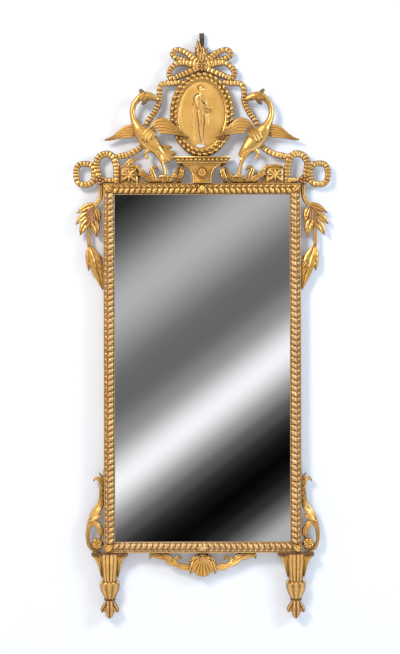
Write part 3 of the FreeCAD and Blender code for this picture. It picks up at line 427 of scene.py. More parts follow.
# Carving tools
def smooth(points, count, closed=False):
    """Evenly spaced samples of a rounded line through points, and the line's length in the plane."""
    given = np.array(points, float)
    if closed:
        given = np.vstack([given, given[:1]])
        ends = np.vstack([given[-2:-1], given, given[1:2]])
    else:
        ends = np.vstack([2 * given[0] - given[1], given, 2 * given[-1] - given[-2]])
    share = np.linspace(0, 1, 24, endpoint=False)[:, None]
    runs = []
    for index in range(len(given) - 1):
        a, b, c, d = ends[index:index + 4]
        runs.append(0.5 * (2 * b + (c - a) * share + (2 * a - 5 * b + 4 * c - d) * share ** 2
                           + (3 * b - a - 3 * c + d) * share ** 3))
    fine = np.vstack(runs + [given[-1:]])
    run = np.concatenate([[0], np.cumsum(np.linalg.norm(np.diff(fine[:, :2], axis=0), axis=1))])
    even = np.linspace(0, run[-1], count)
    return np.stack([np.interp(even, run, column) for column in fine.T], 1), run[-1]


def dome(aside, edge=0.94):
    """A round arch over a strip, 1 along its middle."""
    return np.sqrt(np.clip(1 - (edge * aside) ** 2, 0, 1))


def toned(rise, crest):
    """A rounded strip of one even tone."""
    def relief(aside, along, run):
        return rise * dome(aside), crest + 0 * aside
    return relief


def rounded(rise):
    """A rounded strip that is brightest along its middle."""
    def relief(aside, along, run):
        crown = dome(aside)
        return rise * crown, 0.2 + 0.8 * crown
    return relief


def pleated():
    """Cross pleats of a carved ribbon: flat folds of unequal width with dark grooves between them."""
    pitch = bpy.context.scene.mirror_carving.pleat_pitch / MM
    rise = 4

    def relief(aside, along, run):
        turn = run / pitch + 0.24 * np.sin(run / 19) + 0.1 * np.sin(run / 8.3 + 1)
        fold = np.abs(np.sin(math.pi * turn))
        flat = 1 - np.abs(aside) ** 6
        groove = np.clip(fold / 0.7, 0, 1) ** 1.5
        drift = 0.1 * np.sin(run / 29)
        return rise * flat * (0.55 + 0.45 * fold ** 0.8), flat * np.clip(0.06 + 0.74 * groove + drift, 0, 1)
    return relief


def fluted(rise, flutes):
    """Flutes that run along a scroll."""
    def relief(aside, along, run):
        ridge = np.abs(np.sin(math.pi * flutes * (aside + 1) / 2)) ** 0.6
        crown = dome(aside, 0.9)
        return rise * crown * (0.5 + 0.5 * ridge), 0.08 + 0.92 * ridge * crown
    return relief


def incised(rise, folds):
    """Low relief with cut folds and a dark outline."""
    def relief(aside, along, run):
        fold = np.abs(np.sin(math.pi * folds * (aside + 1) / 2))
        edge = np.clip((1 - np.abs(aside)) / 0.4, 0, 1)
        return rise * dome(aside, 0.98) * (0.7 + 0.3 * fold), edge * (0.15 + 0.55 * fold)
    return relief


def veined(rise, veins):
    """A leaf with two swelling halves, a cut midrib and slanting side veins."""
    def relief(aside, along, run):
        halves = np.sin(math.pi * np.clip(np.abs(aside), 0, 1)) ** 0.75
        vein = np.abs(np.sin(math.pi * (veins * along - 0.9 * np.abs(aside)))) ** 0.6
        height = rise * (0.3 * dome(aside) + 0.7 * halves * (0.68 + 0.32 * vein))
        return height, np.clip(0.05 + 0.95 * halves * (0.45 + 0.55 * vein), 0, 1)
    return relief


def barbed(rise):
    """A feather with a raised quill and fine barbs."""
    def relief(aside, along, run):
        quill = np.exp(-(aside / 0.14) ** 2)
        barbs = 0.5 + 0.5 * np.sin(2 * math.pi * (run / 3.4 - 1.4 * np.abs(aside)))
        body = 1 - np.abs(aside) ** 2.2
        height = rise * (0.62 * body + 0.3 * quill + 0.1 * barbs * body)
        return height, 0.1 + 0.75 * body + 0.2 * quill * barbs
    return relief


def flower(low, high, petals, button, rim=0.0):
    """A rosette of petals round a button, as depth and crest over a disc."""
    def relief(share, turn):
        petal = np.abs(np.cos(petals * turn / 2)) ** 0.7
        out = np.clip((share - button) / (1 - button), 0, 1)
        swell = np.sin(math.pi * np.clip(out * 0.86 + 0.1, 0, 1)) * petal
        centre = dome(np.clip(share / button, 0, 1), 0.97) * (share < button)
        edge = rim * np.exp(-((share - 0.94) / 0.05) ** 2)
        level = np.maximum(np.maximum(0.72 * swell, centre), edge)
        return low + (high - low) * level, np.clip(0.05 + 1.25 * level, 0, 1)
    return relief


def bowed(base, tip, bend, count):
    """Spots from base to tip on a line that bows to one side, each with its share of the way."""
    base, tip = np.array(base, float), np.array(tip, float)
    along = tip - base
    aside = np.array([-along[1], along[0]])
    return [(share, base + along * share + aside * bend * math.sin(math.pi * share))
            for share in np.linspace(0, 1, count)]


# So few petals that a rosette is a plain button
NO_PETALS = 0.001
# Crest of the flat backs
BACK_CREST = 0.2


class Carving:
    """Closed carved forms gathered into one mesh."""

    def __init__(self, anchor):
        self.anchor = anchor
        self.points = []
        self.crests = []
        self.reds = []
        self.faces = []
        self.shells = 0

    def back(self, under):
        """The depth of the next form's back, set a little apart from its neighbours' backs."""
        stagger = 0.03
        return under + stagger * (self.shells % 40)

    def loft(self, rings, crests, closed=False, red=0.0):
        """A closed skin through rings of equal length, with a fan over each end."""
        rings = np.asarray(rings, float)
        crests = np.asarray(crests, float)
        rows, around = rings.shape[:2]
        first = len(self.points)
        self.shells += 1
        self.points.extend(rings.reshape(-1, 3))
        self.crests.extend(crests.reshape(-1))
        for row in range(rows if closed else rows - 1):
            here = first + row * around
            there = first + (row + 1) % rows * around
            for column in range(around):
                ahead = (column + 1) % around
                self.faces.append((here + column, here + ahead, there + ahead, there + column))
        if not closed:
            for row in (0, rows - 1):
                hub = len(self.points)
                self.points.append(rings[row].mean(0))
                self.crests.append(crests[row].mean())
                start = first + row * around
                for column in range(around):
                    self.faces.append((start + column, start + (column + 1) % around, hub))
        self.reds.extend([red] * (len(self.points) - len(self.reds)))

    def strip(self, route, relief, under, stations, columns, closed=False, lobes=0, red=0.0):
        """A flat-backed strip along a route of (across, height, half width, depth) points."""
        line, length = smooth(route, stations + closed, closed)
        ahead = np.gradient(line[:, :2], axis=0)
        if closed:
            ahead[0] = ahead[-1] = line[1, :2] - line[-2, :2]
        ahead /= np.maximum(np.linalg.norm(ahead, axis=1, keepdims=True), 1e-9)
        if closed:
            line, ahead = line[:-1], ahead[:-1]
        aside = np.stack([-ahead[:, 1], ahead[:, 0]], 1)
        shares, along = np.meshgrid(np.linspace(-1, 1, columns), np.linspace(0, 1, len(line)))
        height, crest = relief(shares, along, along * length)
        half = line[:, 2:3]
        if lobes:
            half = half * (1 - 0.3 * np.abs(np.cos(math.pi * lobes * along[:, :1])) ** 3)
        front = np.stack([line[:, 0:1] + aside[:, 0:1] * shares * half, line[:, 3:4] + height,
                          line[:, 1:2] + aside[:, 1:2] * shares * half], 2)
        back = front[:, [-1, 0]].copy()
        back[:, :, 1] = self.back(under)
        rings = np.concatenate([front, back], 1)
        crests = np.concatenate([crest, np.full((len(line), 2), BACK_CREST)], 1)
        self.loft(rings, crests, closed, red)

    def leaf(self, base, tip, width, depth, under, bend, rise, veins, lift=2.0, lobes=0, red=0.0):
        """A pointed leaf whose midrib bends to one side."""
        route = []
        for share, spot in bowed(base, tip, bend, 11):
            swell = math.sin(math.pi * share ** 0.8) ** 0.85 if 0 < share < 1 else 0
            route.append((*spot, max(width / 2 * swell, 0.25), depth + lift * math.sin(math.pi * share)))
        self.strip(route, veined(rise, veins), under, stations=34, columns=13, lobes=lobes, red=red)

    def feather(self, base, tip, width, depth, under, bend, rise, fall=0.0):
        """A feather with a rounded end; fall lowers its tip."""
        route = []
        for share, spot in bowed(base, tip, bend, 13):
            swell = min(1, 0.45 + 1.2 * share) * math.sqrt(max(1 - share ** 7, 0.002))
            route.append((*spot, width / 2 * swell, depth - fall * share))
        self.strip(route, barbed(rise), under, stations=40, columns=11)

    def rosette(self, middle, radius, under, relief, around, rings, petals=0, stretch=1.0, red=0.0):
        """A round carving; its outline follows the petals."""
        turn = np.linspace(0, 2 * math.pi, around, endpoint=False)
        edge = np.full(around, radius)
        if petals:
            edge = radius * (1 - 0.1 * (1 - np.abs(np.cos(petals * turn / 2))))
        loops, crests = [], []
        for share in [1.0] + list(np.linspace(1, 0.02, rings)):
            depth, crest = relief(np.full(around, share), turn)
            if not loops:
                depth, crest = np.full(around, self.back(under)), np.full(around, BACK_CREST)
            loops.append(np.stack([middle[0] + edge * share * np.cos(turn), depth,
                                   middle[1] + edge * share * stretch * np.sin(turn)], 1))
            crests.append(crest)
        self.loft(loops, crests, red=red)

    def limb(self, sections, middle, stations, around, flatness=0.98, scales=0.0, tone=0.48):
        """A rounded limb along (across, height, half width) sections, about one depth."""
        deepest = 16
        line, length = smooth(sections, stations)
        ahead = np.gradient(line[:, :2], axis=0)
        ahead /= np.linalg.norm(ahead, axis=1, keepdims=True)
        aside = np.stack([-ahead[:, 1], ahead[:, 0]], 1)
        turn = np.linspace(0, 2 * math.pi, around, endpoint=False)[None]
        half = line[:, 2:3]
        deep = np.minimum(flatness * half, deepest)
        run = np.linspace(0, length, stations)[:, None]
        grow = np.zeros((stations, around))
        crest = np.full((stations, around), tone)
        if scales:
            row = run / 8
            column = turn * 3.2 + 0.5 * (np.floor(row) % 2)
            across = (column - np.floor(column)) * 2 - 1
            scale = (1 - (row - np.floor(row))) * np.sqrt(np.clip(1 - 0.8 * across ** 2, 0, 1))
            fade = np.clip((half - 8) / 8, 0, 1)
            grow = scales * scale * fade
            crest = 0.3 + 0.09 * (1 - fade) + 0.5 * scale * fade
        span = (half + grow) * np.cos(turn)
        rings = np.stack([line[:, 0:1] + aside[:, 0:1] * span, middle + (deep + grow) * np.sin(turn),
                          line[:, 1:2] + aside[:, 1:2] * span], 2)
        self.loft(rings, crest)

    def block(self, levels, crest):
        """A square-edged block through (height, half width, depth) levels, with its arrises eased."""
        ease = 0.8
        rings = []
        for height, half, depth in levels:
            rings.append([(-half, 0, height), (half, 0, height), (half, depth - ease, height),
                          (half - ease, depth, height), (-half + ease, depth, height),
                          (-half, depth - ease, height)])
        self.loft(rings, np.full((len(rings), 6), crest))

    def hoop(self, half_width, half_height, section):
        """An oval moulding from a section of (inset, depth, crest) points."""
        stations = 180
        turn = np.linspace(0, 2 * math.pi, stations, endpoint=False)[:, None]
        inset, depth, crest = (np.array(part)[None] for part in zip(*section))
        rings = np.stack([(half_width - inset) * np.cos(turn),
                          np.broadcast_to(depth, (stations, len(section))),
                          (half_height - inset) * np.sin(turn)], 2)
        self.loft(rings, np.broadcast_to(crest, rings.shape[:2]), closed=True)

    def mesh(self, name, side=1):
        """The carving as a mesh in the frame, on the right or mirrored to the left."""
        weld = 0.02 * MM
        sharp = math.radians(50)
        across, height = self.anchor
        spots = np.array(self.points) * MM
        spots = np.stack([side * (across + spots[:, 0]), BACK - spots[:, 1], height + spots[:, 2]], 1)
        mesh = bpy.data.meshes.new(name)
        mesh.from_pydata(spots.tolist(), [], self.faces)
        for label, values in (("crest", self.crests), ("red", self.reds)):
            layer = mesh.attributes.new(label, "FLOAT", "POINT")
            layer.data.foreach_set("value", np.array(values, np.float32))
        shaped = bmesh.new()
        shaped.from_mesh(mesh)
        bmesh.ops.remove_doubles(shaped, verts=shaped.verts, dist=weld)
        bmesh.ops.recalc_face_normals(shaped, faces=shaped.faces)
        shaped.to_mesh(mesh)
        shaped.free()
        mesh.polygons.foreach_set("use_smooth", [True] * len(mesh.polygons))
        mesh.set_sharp_from_angle(angle=sharp)
        return mesh


def add_piece(name, mesh, nodes, material="gilt_carved"):
    """A finished piece that stands for its CAD nodes."""
    piece = bpy.data.objects.new(name, mesh)
    bpy.context.scene.collection.objects.link(piece)
    mesh.materials.clear()
    mesh.materials.append(finish(material))
    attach(piece, BODY)
    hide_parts(*nodes)


def add_carving(carving, label, material="gilt_carved", side=1):
    """A carving that stands for one CAD node and is named after it."""
    name = f"{label}_carved"
    add_piece(name, carving.mesh(name, side), [label], material)


def add_pair(carving, label, material="gilt_carved"):
    """The right-hand carving and its mirror image."""
    for side, sign in SIDES:
        add_carving(carving, f"{label}_{side}", material, sign)


# Geometry Nodes for rows of lobes and ovals of beads
def lobe(tree, tone):
    """A round lobe of radius 1 that carries its crest, which is highest at the front."""
    ball = node(tree, "GeometryNodeMeshUVSphere", {"Segments": 10, "Rings": 6, "Radius": 1.0})
    front = node(tree, "ShaderNodeSeparateXYZ", {0: node(tree, "GeometryNodeInputPosition").outputs[0]})
    crest = spread(tree, front.outputs["Y"], -0.9, 0, tone, 0.1)
    stored = node(tree, "GeometryNodeStoreNamedAttribute",
                  {"Geometry": ball.outputs[0], "Name": "crest", "Value": crest},
                  data_type="FLOAT", domain="POINT")
    return node(tree, "GeometryNodeSetShadeSmooth", {"Geometry": stored.outputs[0]}).outputs[0]


def lobe_tree(name, inputs):
    """A new tree that adds lobes to a mesh, with the inputs that its own row needs."""
    tree = bpy.data.node_groups.new(name, "GeometryNodeTree")
    sockets(tree, "INPUT", (("Geometry", "NodeSocketGeometry"), ("Count", "NodeSocketInt"), *inputs,
                            ("Half size", VECTOR), ("Tone", FLOAT), ("Material", "NodeSocketMaterial")))
    sockets(tree, "OUTPUT", (("Geometry", "NodeSocketGeometry"),))
    return tree, tree.nodes.new("NodeGroupInput").outputs


def finished(tree, given, points, turn):
    """A lobe on each point, joined to the piece's own mesh as plain geometry in one finish."""
    made = node(tree, "GeometryNodeInstanceOnPoints",
                {"Points": points, "Instance": lobe(tree, given["Tone"]), "Rotation": turn,
                 "Scale": given["Half size"]})
    solid = node(tree, "GeometryNodeRealizeInstances", {0: made.outputs[0]}).outputs[0]
    both = node(tree, "GeometryNodeJoinGeometry")
    tree.links.new(given["Geometry"], both.inputs[0])
    tree.links.new(solid, both.inputs[0])
    out = node(tree, "GeometryNodeSetMaterial", {"Geometry": both.outputs[0],
                                                 "Material": given["Material"]})
    tree.links.new(out.outputs[0], tree.nodes.new("NodeGroupOutput").inputs[0])


def lobe_row():
    """Lobes in a straight row, each turned and sized alike."""
    tree, given = lobe_tree("lobe_row", (("Start", VECTOR), ("Step", VECTOR), ("Turn", VECTOR)))
    row = node(tree, "GeometryNodeMeshLine", {"Count": given["Count"], "Start Location": given["Start"],
                                              "Offset": given["Step"]}, mode="OFFSET")
    turn = node(tree, "FunctionNodeEulerToRotation", {0: given["Turn"]}).outputs[0]
    finished(tree, given, row.outputs[0], turn)
    return tree


def bead_oval():
    """Beads round an oval, each lying along it."""
    tree, given = lobe_tree("bead_oval", (("Middle", VECTOR), ("Oval", VECTOR), ("Phase", FLOAT),
                                          ("Lean", VECTOR)))
    ring = node(tree, "GeometryNodeCurvePrimitiveCircle", {"Resolution": 160, "Radius": 1.0})
    oval = node(tree, "GeometryNodeTransform", {"Geometry": ring.outputs[0],
                                                "Rotation": (math.pi / 2, 0, 0)})
    oval = node(tree, "GeometryNodeTransform", {"Geometry": oval.outputs[0], "Translation": given["Middle"],
                                                "Scale": given["Oval"]})
    dots = node(tree, "GeometryNodePoints", {"Count": given["Count"]})
    index = node(tree, "GeometryNodeInputIndex").outputs[0]
    share = maths(tree, "DIVIDE", maths(tree, "ADD", index, given["Phase"]), given["Count"])
    share = maths(tree, "FRACT", share)
    place = node(tree, "GeometryNodeSampleCurve", {"Curves": oval.outputs[0], "Factor": share},
                 mode="FACTOR")
    put = node(tree, "GeometryNodeSetPosition", {"Geometry": dots.outputs[0],
                                                 "Position": place.outputs["Position"]})
    turn = node(tree, "FunctionNodeAxesToRotation", {0: (0, 1, 0), 1: place.outputs["Tangent"]},
                primary_axis="Y", secondary_axis="X")
    lean = node(tree, "FunctionNodeEulerToRotation", {0: given["Lean"]}).outputs[0]
    turn = node(tree, "FunctionNodeRotateRotation", {"Rotation": turn.outputs[0], "Rotate By": lean},
                rotation_space="LOCAL")
    finished(tree, given, put.outputs[0], turn.outputs[0])
    return tree


def grown(mesh, tree, values):
    """The mesh with a tree's lobes added, as a plain mesh."""
    holder = bpy.data.objects.new("holder", mesh)
    bpy.context.scene.collection.objects.link(holder)
    modifier = holder.modifiers.new("lobes", "NODES")
    modifier.node_group = tree
    for item in tree.interface.items_tree:
        if item.in_out == "INPUT" and item.name in values:
            modifier[item.identifier] = values[item.name]
    graph = bpy.context.evaluated_depsgraph_get()
    result = bpy.data.meshes.new_from_object(holder.evaluated_get(graph))
    bpy.data.objects.remove(holder)
    return result


# Plain pieces that keep their CAD shape
def dress_carcass():
    """Finishes for the pieces that keep their CAD shape."""
    groups = {"gilt_level": ["top_rail", "bottom_rail"],
              "gilt_upright": ["left_stile", "right_stile"],
              "pine": ["crest_dowels", "glazing_blocks", "backboard_left", "backboard_middle",
                       "backboard_right"],
              "forged_iron": ["hanger_strap", "back_screws"],
              "looking_glass": ["mirror_plate"]}
    for side, _ in SIDES:
        groups["forged_iron"] += [f"ring_plate_{side}", f"hanging_ring_{side}", f"turn_button_{side}_upper",
                                  f"turn_button_{side}_lower"]
    for name, nodes in groups.items():
        for label in nodes:
            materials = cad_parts[label].data.materials
            materials.clear()
            materials.append(finish(name))


# Rope moulding, and the depth of the flat that it lies on
ROPE_FLAT = 22


def carve_rope():
    """Rope moulding next to the glass, with a dark hollow and a fillet outside it."""
    pitch = bpy.context.scene.mirror_carving.rope_pitch
    tree = lobe_row()
    rope_offset = -4.2
    rope_front = BACK - 25 * MM
    rope_size = (12 * MM, 10 * MM, 6.9 * MM)
    bead_offset = 7.6
    bead_front = BACK - 21.6 * MM
    bead_size = (7.6 * MM, 4.6 * MM, 4.4 * MM)
    outward = {"top": (0, 1), "bottom": (0, -1), "left": (-1, 0), "right": (1, 0)}
    one_way = {"left": ((1, 1),), "right": ((1, -1),)}
    for label, out in outward.items():
        low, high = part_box(f"rope_moulding_{label}")
        middle = middle_of(f"rope_moulding_{label}")
        level = label in ("top", "bottom")
        # The rope on the stiles and the bottom rail takes the lighter copy of the gilding, with painted
        # sheen.
        coating = "gilt_carved" if label == "top" else "gilt_bright"
        axis = 0 if level else 2
        length = high[axis] - low[axis]
        reach = length / 2 / MM
        core = Carving((middle[0], middle[2]))
        run_along = np.array([1, 0] if level else [0, 1])
        out = np.array(out)
        core_strip = (rope_offset, 8, 5, 0.22)
        hollow = (6.6, 6.5, 0.8, 0.26)
        # On the stiles the fillet's crest is raised to a painted highlight from the side lamps.
        fillet = (13.8, 1.9, 4.2, 0.5 if level else 0.9)
        sight_edge = (-14.4, 1.5, 2.4, 0.85)
        for offset, half, rise, crest in (core_strip, hollow, fillet, sight_edge):
            ends = [(*(out * offset + run_along * end), half, ROPE_FLAT) for end in (-reach, reach)]
            core.strip(ends, toned(rise, crest), ROPE_FLAT, stations=3, columns=9)
        name = f"rope_{label}_carved"
        mesh = core.mesh(name)
        for half, lean in one_way.get(label, ((-1, 1), (1, -1))):
            run = length / 2 if level else length
            count = round(run / pitch)
            step = [0, 0, 0]
            step[axis] = half * run / count
            slope = -lean * math.radians(46 if level else 44)
            rope = (rope_offset, rope_front, rope_size, slope, 1.0)
            # On the stiles the beads take a higher tone: painted highlight.
            beads = (bead_offset, bead_front, bead_size, -slope, 0.5 if level else 0.75)
            for offset, place, size, turn, tone in (rope, beads):
                start = [middle[0] + out[0] * offset * MM, place, middle[2] + out[1] * offset * MM]
                start[axis] += (0 if level else -length / 2) + step[axis] / 2
                mesh = grown(mesh, tree, {"Count": count, "Start": start, "Step": step, "Half size": size,
                                          "Turn": (0, turn, 0), "Tone": tone, "Material": finish(coating)})
        if level:
            mesh = with_centre_leaf(mesh, name, middle, label)
        add_piece(name, mesh, [f"rope_moulding_{label}"], coating)
    corners = Carving((0, (FRAME_TOP + FRAME_BOTTOM) / 2))
    half_height = (FRAME_TOP - FRAME_BOTTOM) / 2 / MM - 16
    for across in (-1, 1):
        for up in (-1, 1):
            spot = np.array([across * FOOT[0] / MM, up * half_height])
            turn = np.array([across, up])
            ends = [(*(spot - (11, 0)), 11, 23), (*(spot + (11, 0)), 11, 23)]
            corners.strip(ends, rounded(3), ROPE_FLAT, stations=3, columns=9)
            corners.leaf(spot + turn * 13, spot - turn * 12, 17, 25, ROPE_FLAT, bend=0, rise=5, veins=4)
            for tip, lean in (((-11, 7), 0.12), ((7, -11), -0.12)):
                corners.leaf(spot + turn * 10, spot + turn * tip, 11, 24, ROPE_FLAT,
                             bend=lean * across * up, rise=5, veins=3)
    add_carving(corners, "corner_leaves")


def with_centre_leaf(mesh, name, middle, label):
    """The rope's two halves meet under a small leaf at the middle of a rail."""
    leaf = Carving((middle[0], middle[2]))
    low = -1 if label == "bottom" else 1
    leaf.leaf((0, low * 12), (0, -low * 11.5), 15, 30.5, ROPE_FLAT, bend=0, rise=4.5, veins=4)
    for sign in (-1, 1):
        leaf.leaf((0, low * 11), (sign * 15, -low * 7), 12, 30, ROPE_FLAT, bend=-sign * 0.14 * low, rise=4,
                  veins=3)
    joined = bmesh.new()
    joined.from_mesh(mesh)
    joined.from_mesh(leaf.mesh(name + "_leaf"))
    joined.to_mesh(mesh)
    joined.free()
    return mesh


# Plinth
def carve_plinth():
    """The plinth under the medallion: cornice, waisted body, rosette and side brackets."""
    cornice = Carving(CREST)
    cornice.block([(57, 70, 30), (57.8, 74, 34), (61.5, 74.8, 35), (62.3, 72.5, 32), (64, 72.5, 32),
                   (72.5, 79, 33.5), (73.2, 82.4, 37.4), (76.4, 83, 38), (77, 82.6, 37.6)], 0.44)
    eggs = bpy.context.scene.mirror_carving.egg_count
    pitch = 150 / eggs
    first_egg = (-(eggs - 1) / 2 * pitch * MM, BACK - 32.5 * MM, CREST[1] + 68.2 * MM)
    egg_size = (0.42 * pitch * MM, 5 * MM, 4.6 * MM)
    mesh = grown(cornice.mesh("plinth_cornice_carved"), lobe_row(),
                 {"Count": eggs, "Start": first_egg, "Step": (pitch * MM, 0, 0), "Half size": egg_size,
                  "Turn": (0, 0, 0), "Tone": 0.75, "Material": finish("gilt_carved")})
    add_piece("plinth_cornice_carved", mesh, ["plinth_cornice"])
    body = Carving(CREST)
    face = 30
    waist = [(27, 0), (28.5, 20), (33.5, 36), (40, 45), (47, 50), (52, 52.5)]
    side, _ = smooth(waist, 26)
    body.block([(height, half, face) for half, height in side] + [(53, 55.5, 32), (56.9, 55.8, 33)], 0.62)
    for sign in (-1, 1):
        edge = [(sign * (half - 2.6), height, 2.4, face) for half, height in side]
        body.strip(edge, rounded(3.4), face - 1, stations=40, columns=7)
    body.strip([(-26, 3, 2.4, face), (26, 3, 2.4, face)], rounded(3), face - 1, stations=4, columns=7)
    add_carving(body, "plinth_body")
    rose = Carving((0, middle_of("plinth_rosette")[2]))

    def patera(share, turn):
        ring = np.exp(-((share - 0.9) / 0.09) ** 2)
        petal = np.sin(math.pi * np.clip((share - 0.2) / 0.55, 0, 1)) * (0.75 + 0.25 * np.cos(8 * turn))
        button = np.exp(-(share / 0.13) ** 2)
        level = np.maximum(np.maximum(0.8 * ring, 0.75 * petal), 0.45 * button)
        return 31.5 + 6 * level, np.clip(0.42 + 0.6 * level, 0, 1)
    rose.rosette((0, 0), 17.4, 29.5, patera, around=90, rings=22)
    add_carving(rose, "plinth_rosette")
    bracket = Carving(CREST)
    bracket.strip([(70, 0, 7, 9), (66, 14, 8, 13), (61, 28, 7.5, 15), (59.5, 42, 6.5, 15),
                   (60.5, 52, 5.5, 14), (64, 56.8, 4, 13)], fluted(7, 3), 0, stations=44, columns=15)
    bracket.leaf((61, 56), (72, 3), 15, 15, 4, bend=-0.16, rise=6, veins=5, lift=3, lobes=4)
    bracket.leaf((60, 50), (57, 14), 9, 13, 4, bend=-0.1, rise=5, veins=4)
    add_pair(bracket, "plinth_bracket")


# Medallion
def carve_medallion():
    """The oval medallion: beaded border, sunk panel and relief figure."""
    settings = bpy.context.scene.mirror_carving
    border = Carving(MEDALLION)
    border.hoop(93, 122.5, [(0, 0, 0.3), (0, 8, 0.4), (1.2, 12, 0.4), (6, 15.5, 0.35), (11, 14, 0.2),
                            (17, 16, 0.35), (21.5, 15.5, 0.4), (23.6, 15.6, 0.75), (25, 14.8, 0.7),
                            (25.5, 12, 0.4), (25.5, 0, 0.3)])
    mesh = border.mesh("medallion_bead_frame_carved")
    tree = bead_oval()
    centre = (MEDALLION[0], BACK - 13 * MM, MEDALLION[1])
    lean = (0, math.radians(38), 0)
    outer_row = (6.6, (8.6, 8.6, 5.6), 0.0)
    inner_row = (17.2, (8, 8.6, 5.2), 0.5)
    for inset, shape, phase in (outer_row, inner_row):
        oval = ((93.5 - inset) * MM, 1, (123 - inset) * MM)
        mesh = grown(mesh, tree, {"Count": settings.bead_count, "Middle": centre, "Oval": oval,
                                  "Half size": [size * MM for size in shape], "Phase": phase,
                                  "Lean": lean, "Tone": 1.0, "Material": finish("gilt_toned")})
    add_piece("medallion_bead_frame_carved", mesh, ["medallion_bead_frame"], "gilt_toned")
    panel = Carving(MEDALLION)
    half_width = 67.4
    half_height = 96.9

    def field(share, turn):
        sink = 14 - 1.2 * np.clip((share - 0.86) / 0.14, 0, 1) ** 2
        return sink + 0.25 * np.sin(9 * share + 2 * turn), 0.62 - 0.4 * np.clip((share - 0.9) / 0.1, 0, 1)
    panel.rosette((0, 0), half_width, 3, field, around=120, rings=26, stretch=half_height / half_width)
    add_carving(panel, "medallion_panel", "gilt_panel")
    figure = Carving(MEDALLION)
    carve_figure(figure)
    add_carving(figure, "medallion_figure", "gilt_panel")


def carve_figure(figure):
    """A standing figure with a cloak, in low relief."""
    ground = 12.5
    field = 13.4
    figure.strip([(-19, 54, 2, field), (-24, 40, 4, field), (-24, 18, 5, field), (-21, -10, 6, field),
                  (-20, -40, 6, field), (-21, -64, 5, field), (-22, -78, 2, field)], incised(1.4, 3),
                 ground, stations=60, columns=19)
    figure.strip([(-6, 56, 8, field), (-7, 46, 12.5, field), (-6, 32, 11, field), (-4, 18, 9, field),
                  (-2, 4, 10.5, field), (-1, -12, 10.5, field), (-1, -40, 8, field), (-0.5, -66, 6, field),
                  (0, -86, 5, field)], incised(2.2, 2), ground, stations=80, columns=25)
    figure.strip([(4, 52, 3.6, field), (10, 42, 4, field), (12, 30, 3.6, field), (9, 21, 3, field)],
                 incised(2, 1), ground, stations=30, columns=11)
    figure.strip([(-17, 51, 4, field + 0.8), (-17, 36, 4.2, field + 1), (-11, 21, 4, field + 1.4),
                  (3, 15, 3.6, field + 1.2), (16, 15, 3.2, field), (27, 19, 2.6, field),
                  (34, 24, 2, field)], incised(2, 1), ground, stations=50, columns=11)
    figure.strip([(14, 13, 3, field), (17, 2, 4, field), (16, -12, 4, field), (18, -26, 2, field)],
                 incised(1.4, 2), ground, stations=40, columns=15)
    # Dark strips along the contours and folds of the figure: painted shade, and patina in the cuts.
    shaded_cuts = (((-26.6, 24), (-24, 44), (-18, 56), (-9, 59), (2, 55)),
            ((-14, 6), (-9, -23), (-8, -44), (-2.5, -83)),
            ((-20, 43), (-15.6, 31), (-11, 21), (-3, 14.6), (13, 16), (28, 12.4)),
            ((8, 8), (18, 6.6), (28, 8)),
            ((2.5, 2), (6.6, -15), (5, -35), (3.4, -58), (1.7, -81)),
            ((-4, 44), (2, 36), (10, 30), (9, 22)))
    for cut in shaded_cuts:
        halves = [0.6] + [1.5] * (len(cut) - 2) + [0.6]
        route = [(*spot, half, field + 1.9) for spot, half in zip(cut, halves)]
        figure.strip(route, toned(0.5, 0), ground, stations=40, columns=5)
    figure.limb([(-5, 54, 4.6), (-4, 60, 4.2), (-3, 66, 4.4)], field + 0.2, stations=12, around=16,
                flatness=0.7)
    for side in (-1, 1):
        figure.leaf((side * 3, -84), (side * 8, -88), 5, field, ground, bend=0, rise=2, veins=2)
    head_middle = (-2, 73.5)

    def face(share, turn):
        across, up = share * np.cos(turn), share * np.sin(turn)
        swell = 3.4 * np.sqrt(np.clip(1 - 0.94 * share ** 2, 0, 1))
        nose = 0.8 * np.exp(-(across / 0.1) ** 2) * np.clip((0.02 - up) / 0.34, 0, 1) * (up > -0.36)
        brow = 0.3 * np.exp(-((up - 0.1) / 0.07) ** 2) * np.exp(-((np.abs(across) - 0.34) / 0.25) ** 2)
        eyes = 0.5 * np.exp(-((np.abs(across) - 0.34) / 0.15) ** 2 - ((up + 0.01) / 0.07) ** 2)
        lips = 0.3 * np.exp(-(across / 0.2) ** 2 - ((up + 0.55) / 0.06) ** 2)
        relief = swell + nose + brow - eyes + lips
        return field + relief, np.clip(0.6 + 0.3 * (nose + brow + lips) - 0.6 * eyes, 0, 1)
    figure.rosette(head_middle, 7.6, ground, face, around=64, rings=26, stretch=1.42)
    for lock in range(9):
        turn = math.radians(10 + 20 * lock)
        inner = (head_middle[0] + 6.4 * math.cos(turn), head_middle[1] + 9.4 * math.sin(turn))
        outer = (head_middle[0] + 9 * math.cos(turn + 0.25), head_middle[1] + 12.4 * math.sin(turn + 0.25))
        figure.leaf(inner, outer, 5.5, field + 0.2, ground, bend=0.2, rise=2.2, veins=2)
    figure.rosette((head_middle[0] - 9, 80), 4.2, ground, flower(field, field + 3, 6, 0.4), around=40,
                   rings=9)


# Bow, ribbons
def ribbon(carving, route, width, depth, under, red):
    """A pleated ribbon; each route point is (across, height), then a share of the width and a lift."""
    pitch = bpy.context.scene.mirror_carving.pleat_pitch / MM
    defaults = (1, 0)
    full = []
    for point in route:
        across, height, share, lift = (*point, *defaults[len(point) - 2:])
        full.append((across, height, width / 2 * share, depth + lift))
    _, length = smooth(full, 60)
    carving.strip(full, pleated(), under, stations=max(12, round(length / pitch * 8)), columns=11, red=red)


